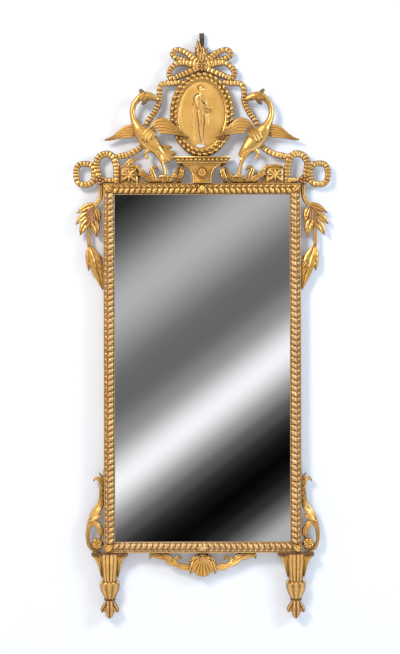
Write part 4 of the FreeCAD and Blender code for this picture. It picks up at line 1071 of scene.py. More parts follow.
def carve_bow():
    """The bow's two halves, its rosette and the leaf finial above it."""
    bow = Carving(BOW)
    ribbon(bow, [(6, 9, 1.3, -1), (19, 18, 1.35), (37.8, 34.5, 1.2), (60.2, 46), (74, 47), (83, 39),
                 (82, 30), (75, 25), (66, 22, 1, -2), (45.4, 16, 1.1, -3), (10, 5, 1.2, -3)], 16, 8.5, 4,
           red=0.2)
    ribbon(bow, [(8, 2, 1.5), (25, 5.5, 1.4), (41.6, 9, 1.25), (67.4, 9.5, 1.05), (87, -4.7), (94.3, -20),
                 (91, -32.5), (82, -35), (69, -30, 1.05, 1), (52.6, -23.5, 1.15, 1), (30.6, -14, 1.2, 1),
                 (8, -5, 1.2, 1)], 16, 9.5, 4, red=0.2)
    add_pair(bow, "bow", "gilt_dull")
    rose = Carving(BOW)
    rose.rosette((0, 0), 17.4, 0, flower(10, 19.8, 8, 0.3), petals=8, around=112, rings=20, red=0.2)
    rose.rosette((0, 0), 10.5, 8, flower(14, 19.9, 6, 0.42), petals=6, around=84, rings=14, red=0.3)
    add_carving(rose, "bow_rosette", "gilt_dull")
    finial = Carving(BOW)
    leaves = (((24, 38), 15, 5, 0.14), ((-24, 42), 16, 5, -0.14), ((19, 54), 20, 6, 0.1),
              ((-21, 57), 17, 7, -0.06), ((-14, 78), 24, 8, -0.03), ((7, 63), 20, 10, 0.05),
              ((-3, 47), 15, 12, 0))
    for tip, width, depth, bend in leaves:
        finial.leaf((0, 9), tip, width, depth, 2, bend=bend, rise=5, veins=6, lift=1, lobes=3, red=0.3)
    finial.rosette((0, 16), 7.5, 4, flower(12, 16, 6, 0.4), around=48, rings=9, red=0.3)
    add_carving(finial, "leaf_finial", "gilt_dull")


def carve_ribbons():
    """The streamers from the bow, and the knots, arches and side loops at the corners."""
    streamer = Carving(CREST)
    ribbon(streamer, [(62, BOW_HEIGHT - 46.5, 0.9, -1), (89.8, BOW_HEIGHT - 49.5), (108, BOW_HEIGHT - 50.5),
                      (119, BOW_HEIGHT - 58), (123, BOW_HEIGHT - 77), (122, 245.3), (127.6, 225),
                      (138.6, 204.7), (153.4, 184.2), (162, 168, 0.95)], 16.5, 10, 6, red=0.2)
    add_pair(streamer, "upper_ribbon", "gilt_dull")
    corner = Carving(CORNER)
    ribbon(corner, [(-38.5, 0.5), (-38.7, 22), (-38.2, 45), (-34.5, 66), (-26, 80), (-13, 86.3), (1, 84.5),
                    (13, 76), (19.5, 61), (19, 42), (12, 20, 0.85, -1)], 19.5, 10, 6, red=0.1)
    ribbon(corner, [(-24, 84, 0.7, -3), (-37, 78, 0.8, -3), (-54, 81, 1, -1), (-72, 84.5), (-95, 95),
                    (-113, 108, 0.9)], 18, 10, 6, red=0.1)
    ribbon(corner, [(6, 10, 0.8), (-18, 9.8), (-38, 9.5, 0.9)], 16, 10.5, 6, red=0.1)
    loop = []
    loop_points = 16
    for step in range(loop_points):
        turn = 2 * math.pi * step / loop_points + math.pi
        square = (abs(math.cos(turn)) ** 3 + abs(math.sin(turn)) ** 3) ** (-1 / 3)
        loop.append((53 + 25.7 * square * math.cos(turn), 28 + 30 * square * math.sin(turn), 8.5, 10))
    _, length = smooth(loop, 60, True)
    pitch = bpy.context.scene.mirror_carving.pleat_pitch / MM
    count = round(length / pitch)
    pleats = pleated()

    def whole_pleats(aside, along, run):
        return pleats(aside, along, along * count * pitch)
    corner.strip(loop, whole_pleats, 6, stations=count * 8, columns=11, closed=True, red=0.1)
    corner.rosette((9.6, 11.3), 14, 6, flower(15, 22, 5, 0.34), petals=5, around=80, rings=16, red=0.4)
    add_pair(corner, "lower_ribbon", "gilt_dull")


# Birds
def carve_birds():
    """The two birds; the left one also has tail feathers of its own."""
    middle = 18
    foot = (106.5, 22)
    claw = (160, 79)
    tail = (((134, 112), (86, 105), 12, 17), ((132, 108), (76, 85), 15, 20), ((130, 104), (80, 71), 15, 23),
            ((128, 98), (88, 66), 14, 25), ((126, 92), (97, 61), 13, 23))
    for side, sign in SIDES:
        bird = Carving(CREST)
        bird.limb([(107, 79, 4.5), (115, 86.5, 9.8), (127, 98, 16), (141.5, 111.5, 22.5), (158, 128, 24.5),
                   (175, 149, 21.5), (186.5, 166, 14), (195.5, 182, 10), (200.5, 200, 8.4), (200, 217, 8),
                   (194, 233, 8.2), (184, 244, 9)], middle, stations=230, around=44, scales=0.5)
        bird.limb([(193, 235, 6.5), (183, 246, 9.5), (171, 252, 12), (158, 253, 13), (147, 251, 11.5),
                   (139, 248, 9.5), (131, 245, 7.5), (125, 242.5, 4)], middle, stations=60, around=24,
                  flatness=0.85, tone=0.42)
        carve_head(bird, middle)
        bird.limb([(128, 90, 12), (119, 74, 8), (112, 52, 4.8), (107.5, 30, 4.2), (106.5, 17, 4.8)], middle,
                  stations=40, around=18)
        bird.strip([(121, 76, 2, middle + 7), (112.5, 50, 1.4, middle + 4), (107.5, 24, 1.2, middle + 3.4)],
                   rounded(2), middle, stations=30, columns=7)
        for toe in ((92, 19), (99, 15), (116, 15), (124, 20)):
            bird.limb([(*foot, 3.6), ((foot[0] + toe[0]) / 2, foot[1], 3), (*toe, 1.2)], middle + 4,
                      stations=14, around=12)
        bird.limb([(148, 104, 9), (158, 94, 6.5), (163, 85, 4.6), (160.5, 77, 3.2)], middle + 2,
                  stations=26, around=16)
        for talon in ((151, 72), (158, 69), (166, 74)):
            bird.limb([(*claw, 3.2), ((claw[0] + talon[0]) / 2 + 1, 75, 2.6), (*talon, 0.9)], middle + 3,
                      stations=12, around=10)
        for number in range(4):
            thigh = np.array([139 - 6 * number, 104 - 7 * number])
            bird.feather(thigh, thigh - (9, 17), 12, 27 - 1.6 * number, middle, bend=0.08, rise=3)
        if side == "left":
            for base, tip, width, depth in tail:
                bird.feather(base, tip, width, depth, 10, bend=0.04, rise=4, fall=6)
        add_carving(bird, f"bird_{side}", side=sign)
    carve_wings()


def carve_head(bird, middle):
    """Horn, wattle, eye, cap feathers and the line of the beak."""
    bird.limb([(166, 257, 9), (172.5, 264, 7), (177, 269.5, 5.6), (179.4, 273.4, 3)], middle, stations=20,
              around=14, tone=0)
    bird.limb([(160, 246, 8), (165, 238, 7), (170, 232, 5.4), (174.5, 229, 1.8)], middle + 1, stations=22,
              around=14, tone=0.05)
    bird.rosette((155, 256.5), 3.4, middle + 6, flower(middle + 8.5, middle + 11.5, NO_PETALS, 0.55, 0.9),
                 around=28, rings=9)
    bird.strip([(160, 247, 1.6, middle + 8.6), (148, 244.5, 1.6, middle + 7),
                (138, 242.4, 1.4, middle + 5.4), (127, 239.8, 0.8, middle + 2)], toned(1.8, 0), middle,
               stations=20, columns=7)
    for base, tip, width in (((158, 262), (181, 250), 9), ((161, 257), (186, 243), 9),
                             ((163, 251), (185, 236), 8)):
        bird.leaf(base, tip, width, middle + 8, middle, bend=0.1, rise=3.4, veins=3)


# Samples along each edge of a wing
EDGE_POINTS = 61


def carve_wings():
    """The outer wings behind the birds and the inner wings in front of them."""
    outer = Carving(CREST)
    top, _ = smooth([(186, 168), (206, 170.5), (222, 166.4), (236, 157.6), (251, 144.2), (265, 134.4),
                     (281.5, 127.6)], EDGE_POINTS)
    low, _ = smooth([(190, 134), (222, 133.2), (244, 130), (264, 126), (281.5, 126.6)], EDGE_POINTS)
    spine = ((top + low) / 2)[::6]
    halves = (13, 16, 17, 16, 14, 11, 7.6, 5, 3.2, 2, 0.6)
    depth = 10
    under = 8
    outer.strip([(*spot, half, depth) for spot, half in zip(spine, halves)], rounded(1.5), under,
                stations=40, columns=9)
    long_feathers(outer, top, low, 5, depth, under, 2)
    add_pair(outer, "outer_wing", "gilt_fresh")
    inner = Carving(CREST)
    top, _ = smooth([(150, 162), (136, 180), (114, 188.5), (96.7, 182), (81.3, 168), (62, 151), (38, 133)],
                    EDGE_POINTS)
    low, _ = smooth([(150, 150), (132, 144), (107, 144), (85, 141.5), (62, 137), (38, 132.5)], EDGE_POINTS)
    under = 24.2
    long_feathers(inner, top, low, 5, 26.5, under, 4)
    coverts = (((147, 161), (171, 136), 13, 33), ((143, 163), (174, 125), 13, 34),
               ((138, 158), (168, 118), 13, 35), ((133, 153), (158, 117), 13, 35),
               ((130, 151), (146, 127), 11, 34))
    for start, end, width, depth in coverts:
        inner.feather(start, end, width, depth, under, bend=0.05, rise=5, fall=1)
    add_pair(inner, "inner_wing")


def long_feathers(wing, top, low, count, depth, under, delay):
    """Feathers laid one over the next from the low edge up, all drawn together at the tip."""
    for number in range(count):
        share = 1 - (number + 0.5) / count
        route = []
        for step in range(delay * (count - 1 - number), EDGE_POINTS, 4):
            span = np.linalg.norm(top[step] - low[step])
            spot = top[step] * (1 - share) + low[step] * share
            route.append((*spot, max(0.62 * span / count, 1.6), depth + 1.2 * number))
        wing.strip(route, fluted(5, 1), under, stations=70, columns=11)


# Corner blocks and acanthus
def carve_blocks():
    """The corner blocks with their star pateras, and the acanthus along the top rail."""
    middle = (-74, 25)
    for side, sign in SIDES:
        block = Carving(CORNER)
        rings = []
        for inset, depth in ((0, 0), (0, 10), (2.5, 14.5), (7, 16)):
            right = -49.5 - inset
            left = -101 + inset
            rings.append([(right, depth, 0.3), (right, depth, 48 - inset), (-60, depth, 53 - inset),
                          (-84, depth, 52 - inset), (left + 4, depth, 47 - inset), (left, depth, 28),
                          (left, depth, 14), (left, depth, 0.3)])
        block.loft(rings, np.repeat([[0.4], [0.4], [0.65], [0.65]], 8, 1))
        # A low flat triangle beside the block with no crest, the darkest tone: painted shade.
        shade_triangle = [[(-98, depth, 0.3), (-98, depth, 34), (-118, depth, 0.3)] for depth in (0, 5)]
        block.loft(shade_triangle, np.zeros((2, 3)))
        for number in range(8):
            turn = math.radians(45 * number + 45)
            pointed = number % 2 == 0
            reach = 33 if pointed else 24
            tip = (middle[0] + reach * math.cos(turn), middle[1] + 0.86 * reach * math.sin(turn))
            halfway = ((middle[0] + tip[0]) / 2, (middle[1] + tip[1]) / 2)
            ray = [(*middle, 2.4, 20), (*halfway, 4.2 if pointed else 3.4, 21), (*tip, 0.8, 17)]
            block.strip(ray, rounded(6), 14, stations=24, columns=9)
        block.rosette(middle, 6.5, 16, flower(23, 27.6, 6, 0.5), around=48, rings=10)
        block.strip([(-90, 50, 3, 14), (-99, 49, 5, 16), (-106, 41, 5.5, 16), (-107, 31, 4.5, 15),
                     (-101, 25.5, 3, 14), (-96.5, 29, 1.6, 13)], fluted(5, 2), 4, stations=50, columns=11)
        block.strip([(-51, 47.5, 3.4, 14), (-66, 51, 4.2, 15), (-84, 51, 4.6, 15), (-96, 48, 4, 14)],
                    fluted(5, 2), 4, stations=50, columns=11)
        if side == "left":
            block.leaf((-62, 50), (-99, 70), 18, 9, 4, bend=-0.12, rise=5, veins=4, lift=2, lobes=3)
        add_carving(block, f"corner_block_{side}", "gilt_fresh", sign)
    scroll = Carving(CREST)
    scroll.strip([(184, 38, 4, 11), (176, 31, 8.5, 13), (163, 20, 10.5, 14), (146, 11.5, 9.5, 13),
                  (126, 8, 6, 11), (112, 7, 3, 10)], fluted(8, 3), 0, stations=56, columns=19, lobes=3)
    scroll.strip([(140, 7, 5, 10), (120, 9, 8.5, 13), (100, 11, 10, 14), (84, 18, 9.5, 14), (74, 31, 7, 14),
                  (68.5, 44, 3.5, 13), (66.5, 50, 0.6, 12)], fluted(8, 3), 0, stations=60, columns=19,
                 lobes=5)
    scroll.strip([(137, 8, 9, 12), (140, 22, 9, 14), (145, 35, 8, 15), (142.5, 45.5, 6, 15),
                  (133.5, 48, 4.6, 14), (128.5, 42.5, 3, 13), (131.5, 38.5, 1.6, 12)], fluted(8, 2), 0,
                 stations=56, columns=15)
    scroll.leaf((148, 12), (158, 33), 13, 10, 2, bend=-0.2, rise=5, veins=4)
    scroll.leaf((126, 10), (112, 26), 13, 12, 2, bend=0.2, rise=5, veins=4)
    scroll.leaf((92, 8), (109, 23), 13, 13, 2, bend=-0.2, rise=5, veins=4)
    scroll.strip([(64, 3.2, 3, 9), (172, 3.2, 3, 9)], rounded(5), 0, stations=4, columns=7)
    add_pair(scroll, "acanthus_scroll")


# Leaf sprays
def carve_sprays():
    """Leaves on a stem that hangs beside each stile."""
    spray = Carving(CORNER)
    spray.strip([(7.8, 2, 6.2, 8), (7.8, -30, 6.2, 8), (13, -47, 6.4, 9), (24, -62, 7, 9),
                 (33, -84, 8.5, 9), (38, -104, 7, 9), (41, -124, 4.6, 8), (42, -146, 4.8, 8),
                 (42.5, -168, 5.4, 8), (41, -194, 4, 8)], fluted(4, 2), 4, stations=110, columns=11,
                red=0.25)
    leaves = (((20, -58), (77.4, -85), 20, 8, 0.06), ((28, -80), (80.6, -118), 23, 9, 0.08),
              ((34, -98), (68.3, -149.5), 23, 10, 0.08), ((27, -66), (15.4, -117), 19, 8, -0.1),
              ((36, -98), (21, -155), 24, 11, -0.1), ((41, -178), (43.4, -253.5), 20, 8, 0.0),
              ((40, -176), (2.5, -308.5), 37, 10, -0.02), ((41, -180), (1, -218), 13, 7, 0.05),
              ((20, -222), (1.2, -262), 12, 14, -0.14), ((22, -240), (1.2, -282), 12, 14.5, -0.14))
    for base, tip, width, depth, bend in leaves:
        spray.leaf(base, tip, width, depth, 4, bend=bend, rise=5, veins=5, lift=1.5)
    for base, tip in (((26, -66), (52, -96)), ((30, -82), (50, -122)), ((30, -76), (26, -120))):
        spray.leaf(base, tip, 15, 13, 4, bend=0.04, rise=4, veins=4, lift=1, red=0.75)
    add_pair(spray, "leaf_spray")


# Feet and side scrolls
def on_side(route, sign):
    """A route, or its mirror image across the middle of the carving."""
    return [(sign * across, *rest) for across, *rest in route]


def collar(rise, low, gain):
    """A ring round a drop, highest in its middle."""
    def relief(aside, along, run):
        return rise * dome(aside) * dome(2 * along - 1, 0.9), low + gain * dome(aside)
    return relief


def carve_feet():
    """The fluted drop feet under the stiles, and the side scrolls above them."""
    foot = Carving(FOOT)

    def shaft(aside, along, run):
        reach = np.abs(aside)
        flute = np.abs(np.sin(math.pi * np.clip(reach / 0.42, 0, 2))) ** 0.55 * (reach < 0.84)
        edge = np.abs(np.sin(math.pi * np.clip((reach - 0.84) / 0.16, 0, 1))) ** 0.7
        height = 21 * dome(aside, 0.96) + 4 * flute + 2 * edge - 5 * along
        return height, 0.05 + 0.5 * np.maximum(flute, 0.8 * edge)
    foot.strip([(0, -4, 27, 10), (0, -16, 27, 8), (0, -29, 26.5, 7), (0, -42, 25, 6), (0, -64, 22.5, 5),
                (0, -87, 19.5, 4)], shaft, 0, stations=50, columns=33)
    foot.strip([(0, -2, 50, 11), (0, -7, 42, 12), (0, -14, 36, 13), (0, -23, 31, 12), (0, -38, 26.5, 10),
                (0, -64, 23, 7), (0, -87, 19, 4)], rounded(9), 0, stations=40, columns=15)
    foot.strip([(-52, -2.4, 2.4, 20), (52, -2.4, 2.4, 20)], rounded(12), 0, stations=4, columns=9, red=1.0)
    flare = ((23.5, -70, 1.5, 8), (26.5, -48, 4, 11), (29.5, -31, 6, 14), (34, -19, 7, 16),
             (41, -10.5, 6, 17), (48.5, -6.8, 3.6, 16), (52.8, -5.5, 1.4, 14))
    for sign in (-1, 1):
        foot.strip(on_side(flare, sign), fluted(6, 2), 2, stations=50, columns=11)

    def cup(aside, along, run):
        ridge = np.abs(np.sin(math.pi * 1.5 * (aside + 1))) ** 0.6
        tuck = np.clip(along / 0.12, 0, 1) ** 0.5
        height = (20 * dome(aside, 0.97) + 3.5 * ridge) * (0.75 + 0.25 * tuck)
        return height, (0.04 + 0.44 * ridge) * (0.2 + 0.8 * tuck)
    foot.strip([(0, -84, 20, 4), (0, -88, 26, 6), (0, -93, 28.2, 7), (0, -108, 26, 6), (0, -122, 20, 4),
                (0, -132, 14, 3)], cup, 0, stations=44, columns=41)
    for number in range(5):
        across = -22 + 11 * number
        bead = flower(20 - 0.016 * across ** 2, 31 - 0.03 * across ** 2, NO_PETALS, 0.98)
        foot.rosette((across, -88.5), 6.2, 4, bead, around=28, rings=8)
    foot.strip([(-15.8, -134.4, 3.4, 8), (15.8, -134.4, 3.4, 8)], collar(16, 0, 0), 0, stations=16,
               columns=11)
    foot.strip([(-13.5, -139.6, 2.6, 8), (13.5, -139.6, 2.6, 8)], collar(13, 0.15, 0.5), 0, stations=16,
               columns=9)
    side_leaf = ((5, -139, 6, 9), (10, -150, 8, 11), (16, -160, 8.5, 13), (20.5, -167, 7, 13),
                 (23.5, -171.5, 2.4, 11))
    for sign in (-1, 1):
        foot.strip(on_side(side_leaf, sign), veined(6, 4), 3, stations=36, columns=13, red=0.4)
    foot.strip([(0, -139, 8, 13), (0, -150, 10.5, 16), (0, -164, 12, 18), (0, -177, 11, 17),
                (0, -186, 6.5, 13), (0, -190.6, 0.8, 8)], veined(7, 5), 3, stations=44, columns=15, red=0.4)
    add_pair(foot, "foot", "gilt_toned")
    carve_side_scrolls()


def carve_side_scrolls():
    """A long scroll beside each stile, with a leaf at its head and a rosette in its lower curl."""
    side = Carving(BOTTOM_CORNER)
    side.strip([(5, 206, 3.6, 8), (7, 180, 6.4, 9), (8, 158, 7.3, 9), (11, 140, 9.6, 9), (20, 125, 11, 10),
                (32.5, 104, 10.5, 10), (44, 76, 7, 9), (48, 46, 5.2, 9), (43, 20, 5, 9), (28, 5.5, 4, 9)],
               fluted(6, 3), 2, stations=150, columns=17)
    side.strip([(10, 134, 6, 13), (21, 119, 9, 15), (33, 100, 8.5, 14)], fluted(5, 3), 4, stations=50,
               columns=17)
    side.strip([(43, 92, 2, 13), (31, 97, 5, 16), (18, 104, 5, 16), (8, 110, 2, 13)], rounded(4), 4,
               stations=30, columns=9)
    side.strip([(6, 184, 5.6, 9), (8.5, 198, 5.6, 10), (13.5, 210, 5, 11), (20.5, 216, 4.4, 11),
                (27, 213.5, 3.4, 11), (29.8, 206.5, 1.2, 10)], fluted(5, 2), 2, stations=46, columns=11)
    side.leaf((6, 184), (1, 243), 15, 9, 2, bend=0.1, rise=5, veins=6, lift=2, lobes=4)
    side.leaf((5, 196), (14.5, 232), 10, 10, 4, bend=0.12, rise=4, veins=3)
    for number in range(4):
        side.leaf((4, 150 + 14 * number), (10.5 - 0.5 * number, 172 + 13 * number), 9, 13, 4, bend=0.1,
                  rise=4, veins=3)
    side.strip([(42, 92, 3, 10), (30, 89, 8, 12), (20, 82, 9.6, 13), (12.5, 71, 10.4, 13), (9.4, 57, 8, 12),
                (10, 42, 3.4, 11)], fluted(7, 3), 2, stations=60, columns=17, lobes=2)
    rose = (20, 25.5)
    side.rosette(rose, 18, 2, flower(11, 18, 6, 0.3), petals=6, around=96, rings=18)
    for number in range(6):
        turn = math.radians(60 * number + 12)
        tip = (rose[0] + 18.5 * math.cos(turn), rose[1] + 18.5 * math.sin(turn))
        side.leaf(rose, tip, 13, 13, 6, bend=0.16, rise=5, veins=3)
    side.leaf((34, 12), (8, 2.5), 13, 9, 2, bend=0.2, rise=4, veins=4)
    add_pair(side, "side_scroll")


# Apron
def carve_apron():
    """The shell under the bottom rail and the scrolls on both sides of it."""
    shell = Carving(BOTTOM)
    hub = np.array([0, -10])
    shell.strip([(0, -3, 15, 6), (0, -14, 19, 9), (0, -30, 25, 9), (0, -48, 24, 8), (0, -60, 16, 6)],
                rounded(6), 0, stations=30, columns=15)
    side_leaf = ((14, -14, 5, 9), (23, -24, 8.5, 11), (29.5, -38, 9.5, 12), (34, -51, 7.5, 11),
                 (36, -61, 2, 9))
    for sign in (-1, 1):
        shell.strip(on_side(side_leaf, sign), veined(6, 4), 2, stations=44, columns=13, lobes=3)
        shell.leaf((sign * 12, -10), (sign * 40, -37), 13, 8, 2, bend=sign * 0.1, rise=5, veins=4)
    rib = ((0, 5), (0.3, 7), (0.6, 9), (0.85, 9.5), (0.96, 7), (1, 2.5))
    for away in (3, 2, 1, 0):
        for sign in ((-1, 1) if away else (1,)):
            turn = math.radians(13.5 * away)
            reach = 59.5 - 1.6 * away ** 2
            tip = hub + reach * np.array([sign * math.sin(turn), -math.cos(turn)])
            route = []
            for number, (share, half) in enumerate(rib):
                route.append((*(hub + (tip - hub) * share), half, 17 - 1.6 * away - number))
            shell.strip(route, fluted(7, 2), 3, stations=44, columns=13)
    shell.rosette((0, -7), 10, 0, flower(18, 25.8, 6, 0.4), petals=6, around=72, rings=12)
    for sign in (-1, 1):
        shell.leaf((sign * 3, -16), (sign * 22, -4), 12, 15, 2, bend=sign * -0.2, rise=5, veins=4)
    add_carving(shell, "apron_shell")
    scroll = Carving(BOTTOM)
    scroll.strip([(150, -5, 4, 8), (131, -9, 8, 9), (108, -16, 10.5, 9), (86, -29.5, 11, 10),
                  (60, -41, 9.8, 9), (32, -43, 8, 8)], fluted(7, 3), 2, stations=100, columns=17, lobes=3)
    scroll.leaf((136, -2), (154, -19), 15, 9, 2, bend=0.16, rise=5, veins=4, lift=3)
    scroll.leaf((124, -2), (147, -12), 13, 11, 2, bend=0.2, rise=5, veins=4, lift=2)
    scroll.leaf((118, -6), (86, -27), 14, 13, 2, bend=-0.14, rise=4, veins=5, lift=2)
    scroll.strip([(92, -28, 6, 9), (82, -20, 5.4, 11), (73, -14, 4.6, 12), (64.5, -14.5, 3.6, 11),
                  (62, -20, 2, 10)], fluted(5, 2), 2, stations=40, columns=9)
    add_pair(scroll, "apron_scroll")


# Stage
def plane(name, corners, material):
    """A flat piece of the stage."""
    mesh = bpy.data.meshes.new(name)
    mesh.from_pydata(corners, [], [(0, 1, 2, 3)])
    mesh.materials.append(material)
    made = bpy.data.objects.new(name, mesh)
    bpy.context.scene.collection.objects.link(made)
    return made


def pale_surface(name):
    """A pale matt surface that looks white to the eye, takes the mirror's shadow and has painted shade near
    it.

    It is clear from behind, and to light that leaves the back of the mirror close to it.
    """
    bypass = 0.04
    glow = 0.12
    shadow_reach = 0.07
    second_tone = (0.84, 0.84, 0.85, 1)
    painted_shade_black = (0, 0, 0, 1)
    white = (1, 1, 1, 1)
    material, tree = empty_material(name)
    path = node(tree, "ShaderNodeLightPath").outputs
    grain = noise(tree, node(tree, "ShaderNodeTexCoord").outputs["Object"], 3, 2)
    colour = tinted(tree, grain, tuple(bpy.context.scene.mirror_stage.wall), second_tone)
    # Ambient occlusion darkens the paint close to the mirror: painted shade on top of the real shadows.
    occluded_shade = node(tree, "ShaderNodeAmbientOcclusion", {"Distance": shadow_reach}, samples=8).outputs["AO"]
    shaded = spread(tree, occluded_shade, 0.08, 0.42, 0.45, 1)
    colour = tinted(tree, shaded, painted_shade_black, colour)
    matt = node(tree, "ShaderNodeBsdfDiffuse", {"Color": colour}).outputs[0]
    mirrored = maths(tree, "MAXIMUM", path["Is Glossy Ray"], path["Is Transmission Ray"])
    seen = maths(tree, "MAXIMUM", path["Is Camera Ray"], mirrored)
    strength = maths(tree, "MULTIPLY", seen, glow)
    light = node(tree, "ShaderNodeEmission", {"Color": white, "Strength": strength})
    lit = node(tree, "ShaderNodeAddShader", {0: matt, 1: light.outputs[0]}).outputs[0]
    close = maths(tree, "LESS_THAN", path["Ray Length"], bypass)
    unseen = maths(tree, "SUBTRACT", 1.0, path["Is Camera Ray"])
    backfacing = node(tree, "ShaderNodeNewGeometry").outputs["Backfacing"]
    behind = maths(tree, "MAXIMUM", backfacing, maths(tree, "MULTIPLY", close, unseen))
    clear = node(tree, "ShaderNodeBsdfTransparent").outputs[0]
    shader = node(tree, "ShaderNodeMixShader", {0: behind, 1: lit, 2: clear}).outputs[0]
    node(tree, "ShaderNodeOutputMaterial", {"Surface": shader})
    return material


def banded_card(name):
    """Soft bands of light and dark for the glass to reflect, rising to the right."""
    slope = 0.77
    middle = 0.3
    reach = 1.478
    material, tree = empty_material(name)
    coords = node(tree, "ShaderNodeTexCoord").outputs["Object"]
    spot = node(tree, "ShaderNodeSeparateXYZ", {0: coords}).outputs
    fall = maths(tree, "SUBTRACT", maths(tree, "MULTIPLY", spot["X"], slope), spot["Z"])
    ramp = node(tree, "ShaderNodeValToRGB", {0: spread(tree, fall, middle - reach, middle + reach)})
    stops = ((0.0, 0.02), (0.1, 0.17), (0.21, 0.44), (0.33, 0.22), (0.4, 0.135), (0.47, 0.19), (0.53, 0.42),
             (0.6, 0.92), (0.66, 0.47), (0.7, 0.18), (0.74, 0.06), (0.77, 0.018), (0.81, 0.004),
             (0.85, 0.004), (0.88, 0.016), (0.915, 0.06), (0.95, 0.21), (0.98, 0.41), (1.0, 0.43))
    ramp.color_ramp.interpolation = "CARDINAL"
    points = ramp.color_ramp.elements
    for number, (place, grey) in enumerate(stops):
        point = points[number] if number < 2 else points.new(place)
        point.position = place
        point.color = (grey, grey, grey * 1.02, 1)
    light = node(tree, "ShaderNodeEmission", {"Color": ramp.outputs[0], "Strength": 1.05})
    node(tree, "ShaderNodeOutputMaterial", {"Surface": light.outputs[0]})
    return material


def area_light(name, place, size, power, colour):
    """A round lamp that faces the middle of the mirror."""
    aim = (0, 0, -0.8)
    data = bpy.data.lights.new(name, "AREA")
    data.shape = "DISK"
    data.size = size
    data.energy = power
    data.color = colour
    lamp = bpy.data.objects.new(name, data)
    lamp.location = place
    lamp.rotation_euler = (Vector(aim) - Vector(place)).to_track_quat("-Z", "Y").to_euler()
    bpy.context.scene.collection.objects.link(lamp)


def set_camera(stage, centre):
    """The camera, level with the middle of the picture and turned a little in its plane."""
    scene = bpy.context.scene
    data = bpy.data.cameras.new("camera")
    data.sensor_fit = "VERTICAL"
    data.sensor_height = 24
    data.lens = data.sensor_height * stage.distance / stage.view_height
    camera = bpy.data.objects.new("camera", data)
    camera.location = (centre[0], BACK - stage.distance, centre[1])
    camera.rotation_euler = (math.pi / 2, math.radians(0.12), 0)
    scene.collection.objects.link(camera)
    scene.camera = camera


def set_world():
    """A studio sky: brighter above and to the left, and white to the camera."""
    white = (1, 1, 1, 1)
    world = bpy.data.worlds.new("studio")
    world.use_nodes = True
    tree = world.node_tree
    tree.nodes.clear()
    coords = node(tree, "ShaderNodeTexCoord").outputs["Generated"]
    away = node(tree, "ShaderNodeSeparateXYZ", {0: coords}).outputs
    high = spread(tree, away["Z"], -0.5, 0.6)
    tone = tinted(tree, high, (0.05, 0.045, 0.045, 1), (0.9, 0.9, 0.9, 1))
    left = spread(tree, away["X"], -0.7, 0.7, 1, 0)
    side = tinted(tree, left, (0.35, 0.35, 0.38, 1), (1.2, 1.18, 1.15, 1))
    tone = tinted(tree, 1.0, tone, side, "MULTIPLY")
    path = node(tree, "ShaderNodeLightPath").outputs
    soft = tinted(tree, spread(tree, away["Y"], 0, 0.3), (0.32, 0.33, 0.37, 1), white)
    tone = tinted(tree, path["Is Diffuse Ray"], tone, soft)
    tone = tinted(tree, path["Is Camera Ray"], tone, white)
    sky = node(tree, "ShaderNodeBackground", {"Color": tone, "Strength": 1.0})
    node(tree, "ShaderNodeOutputWorld", {"Surface": sky.outputs[0]})
    bpy.context.scene.world = world


def set_stage():
    """Wall, floor, camera, lamps, sky and the card that the glass reflects."""
    scene = bpy.context.scene
    stage = scene.mirror_stage
    scene.view_settings.view_transform = "Standard"
    centre = (-6.8 * MM, -845.9 * MM)
    set_camera(stage, centre)
    wall_y = 0.0085
    front_y = -2.3
    floor_z = -1.95
    top_z = 2.4
    half = 4
    plane("wall", [(-half, wall_y, floor_z), (half, wall_y, floor_z), (half, wall_y, top_z),
                   (-half, wall_y, top_z)], pale_surface("wall_paint"))
    plane("floor", [(-half, front_y, floor_z), (half, front_y, floor_z), (half, wall_y, floor_z),
                    (-half, wall_y, floor_z)], pale_surface("floor_paint"))
    card_half = 0.75
    card_low = -1.6
    card_high = 1.1
    card_behind = 1.5
    card = plane("reflected_bands", [(-card_half, 0, card_low), (-card_half, 0, card_high),
                                     (card_half, 0, card_high), (card_half, 0, card_low)],
                 banded_card("reflected_bands"))
    card.location = (centre[0], BACK - stage.distance - card_behind, centre[1])
    for ray in ("camera", "diffuse", "transmission", "shadow", "volume_scatter"):
        setattr(card, f"visible_{ray}", False)
    area_light("key", (-1.9, -2.9, 1.2), 1.2, stage.key_power, (1, 0.96, 0.9))
    area_light("fill", (3.1, -1.9, 0.5), 1.5, stage.key_power, (0.6, 0.79, 1))
    set_world()


# Operators
class MIRROR_OT_carcass(Operator):
    """Finish the rails, the looking glass, the boards and the ironwork"""
    bl_idname = "wall_mirror.carcass"
    bl_label = "Rails, glass and ironwork"

    def execute(self, context):
        dress_carcass()
        return {"FINISHED"}


class MIRROR_OT_rope(Operator):
    """Carve the rope moulding and the leaves at its corners"""
    bl_idname = "wall_mirror.rope"
    bl_label = "Rope moulding"

    def execute(self, context):
        carve_rope()
        return {"FINISHED"}


class MIRROR_OT_plinth(Operator):
    """Carve the plinth with its cornice, rosette and brackets"""
    bl_idname = "wall_mirror.plinth"
    bl_label = "Plinth"

    def execute(self, context):
        carve_plinth()
        return {"FINISHED"}


class MIRROR_OT_medallion(Operator):
    """Carve the medallion: beaded frame, panel and relief figure"""
    bl_idname = "wall_mirror.medallion"
    bl_label = "Medallion"

    def execute(self, context):
        carve_medallion()
        return {"FINISHED"}


class MIRROR_OT_bow(Operator):
    """Carve the bow, its rosette and the leaf finial"""
    bl_idname = "wall_mirror.bow"
    bl_label = "Bow and finial"

    def execute(self, context):
        carve_bow()
        return {"FINISHED"}


class MIRROR_OT_ribbons(Operator):
    """Carve the streamers and the ribbons at the corners"""
    bl_idname = "wall_mirror.ribbons"
    bl_label = "Ribbons"

    def execute(self, context):
        carve_ribbons()
        return {"FINISHED"}


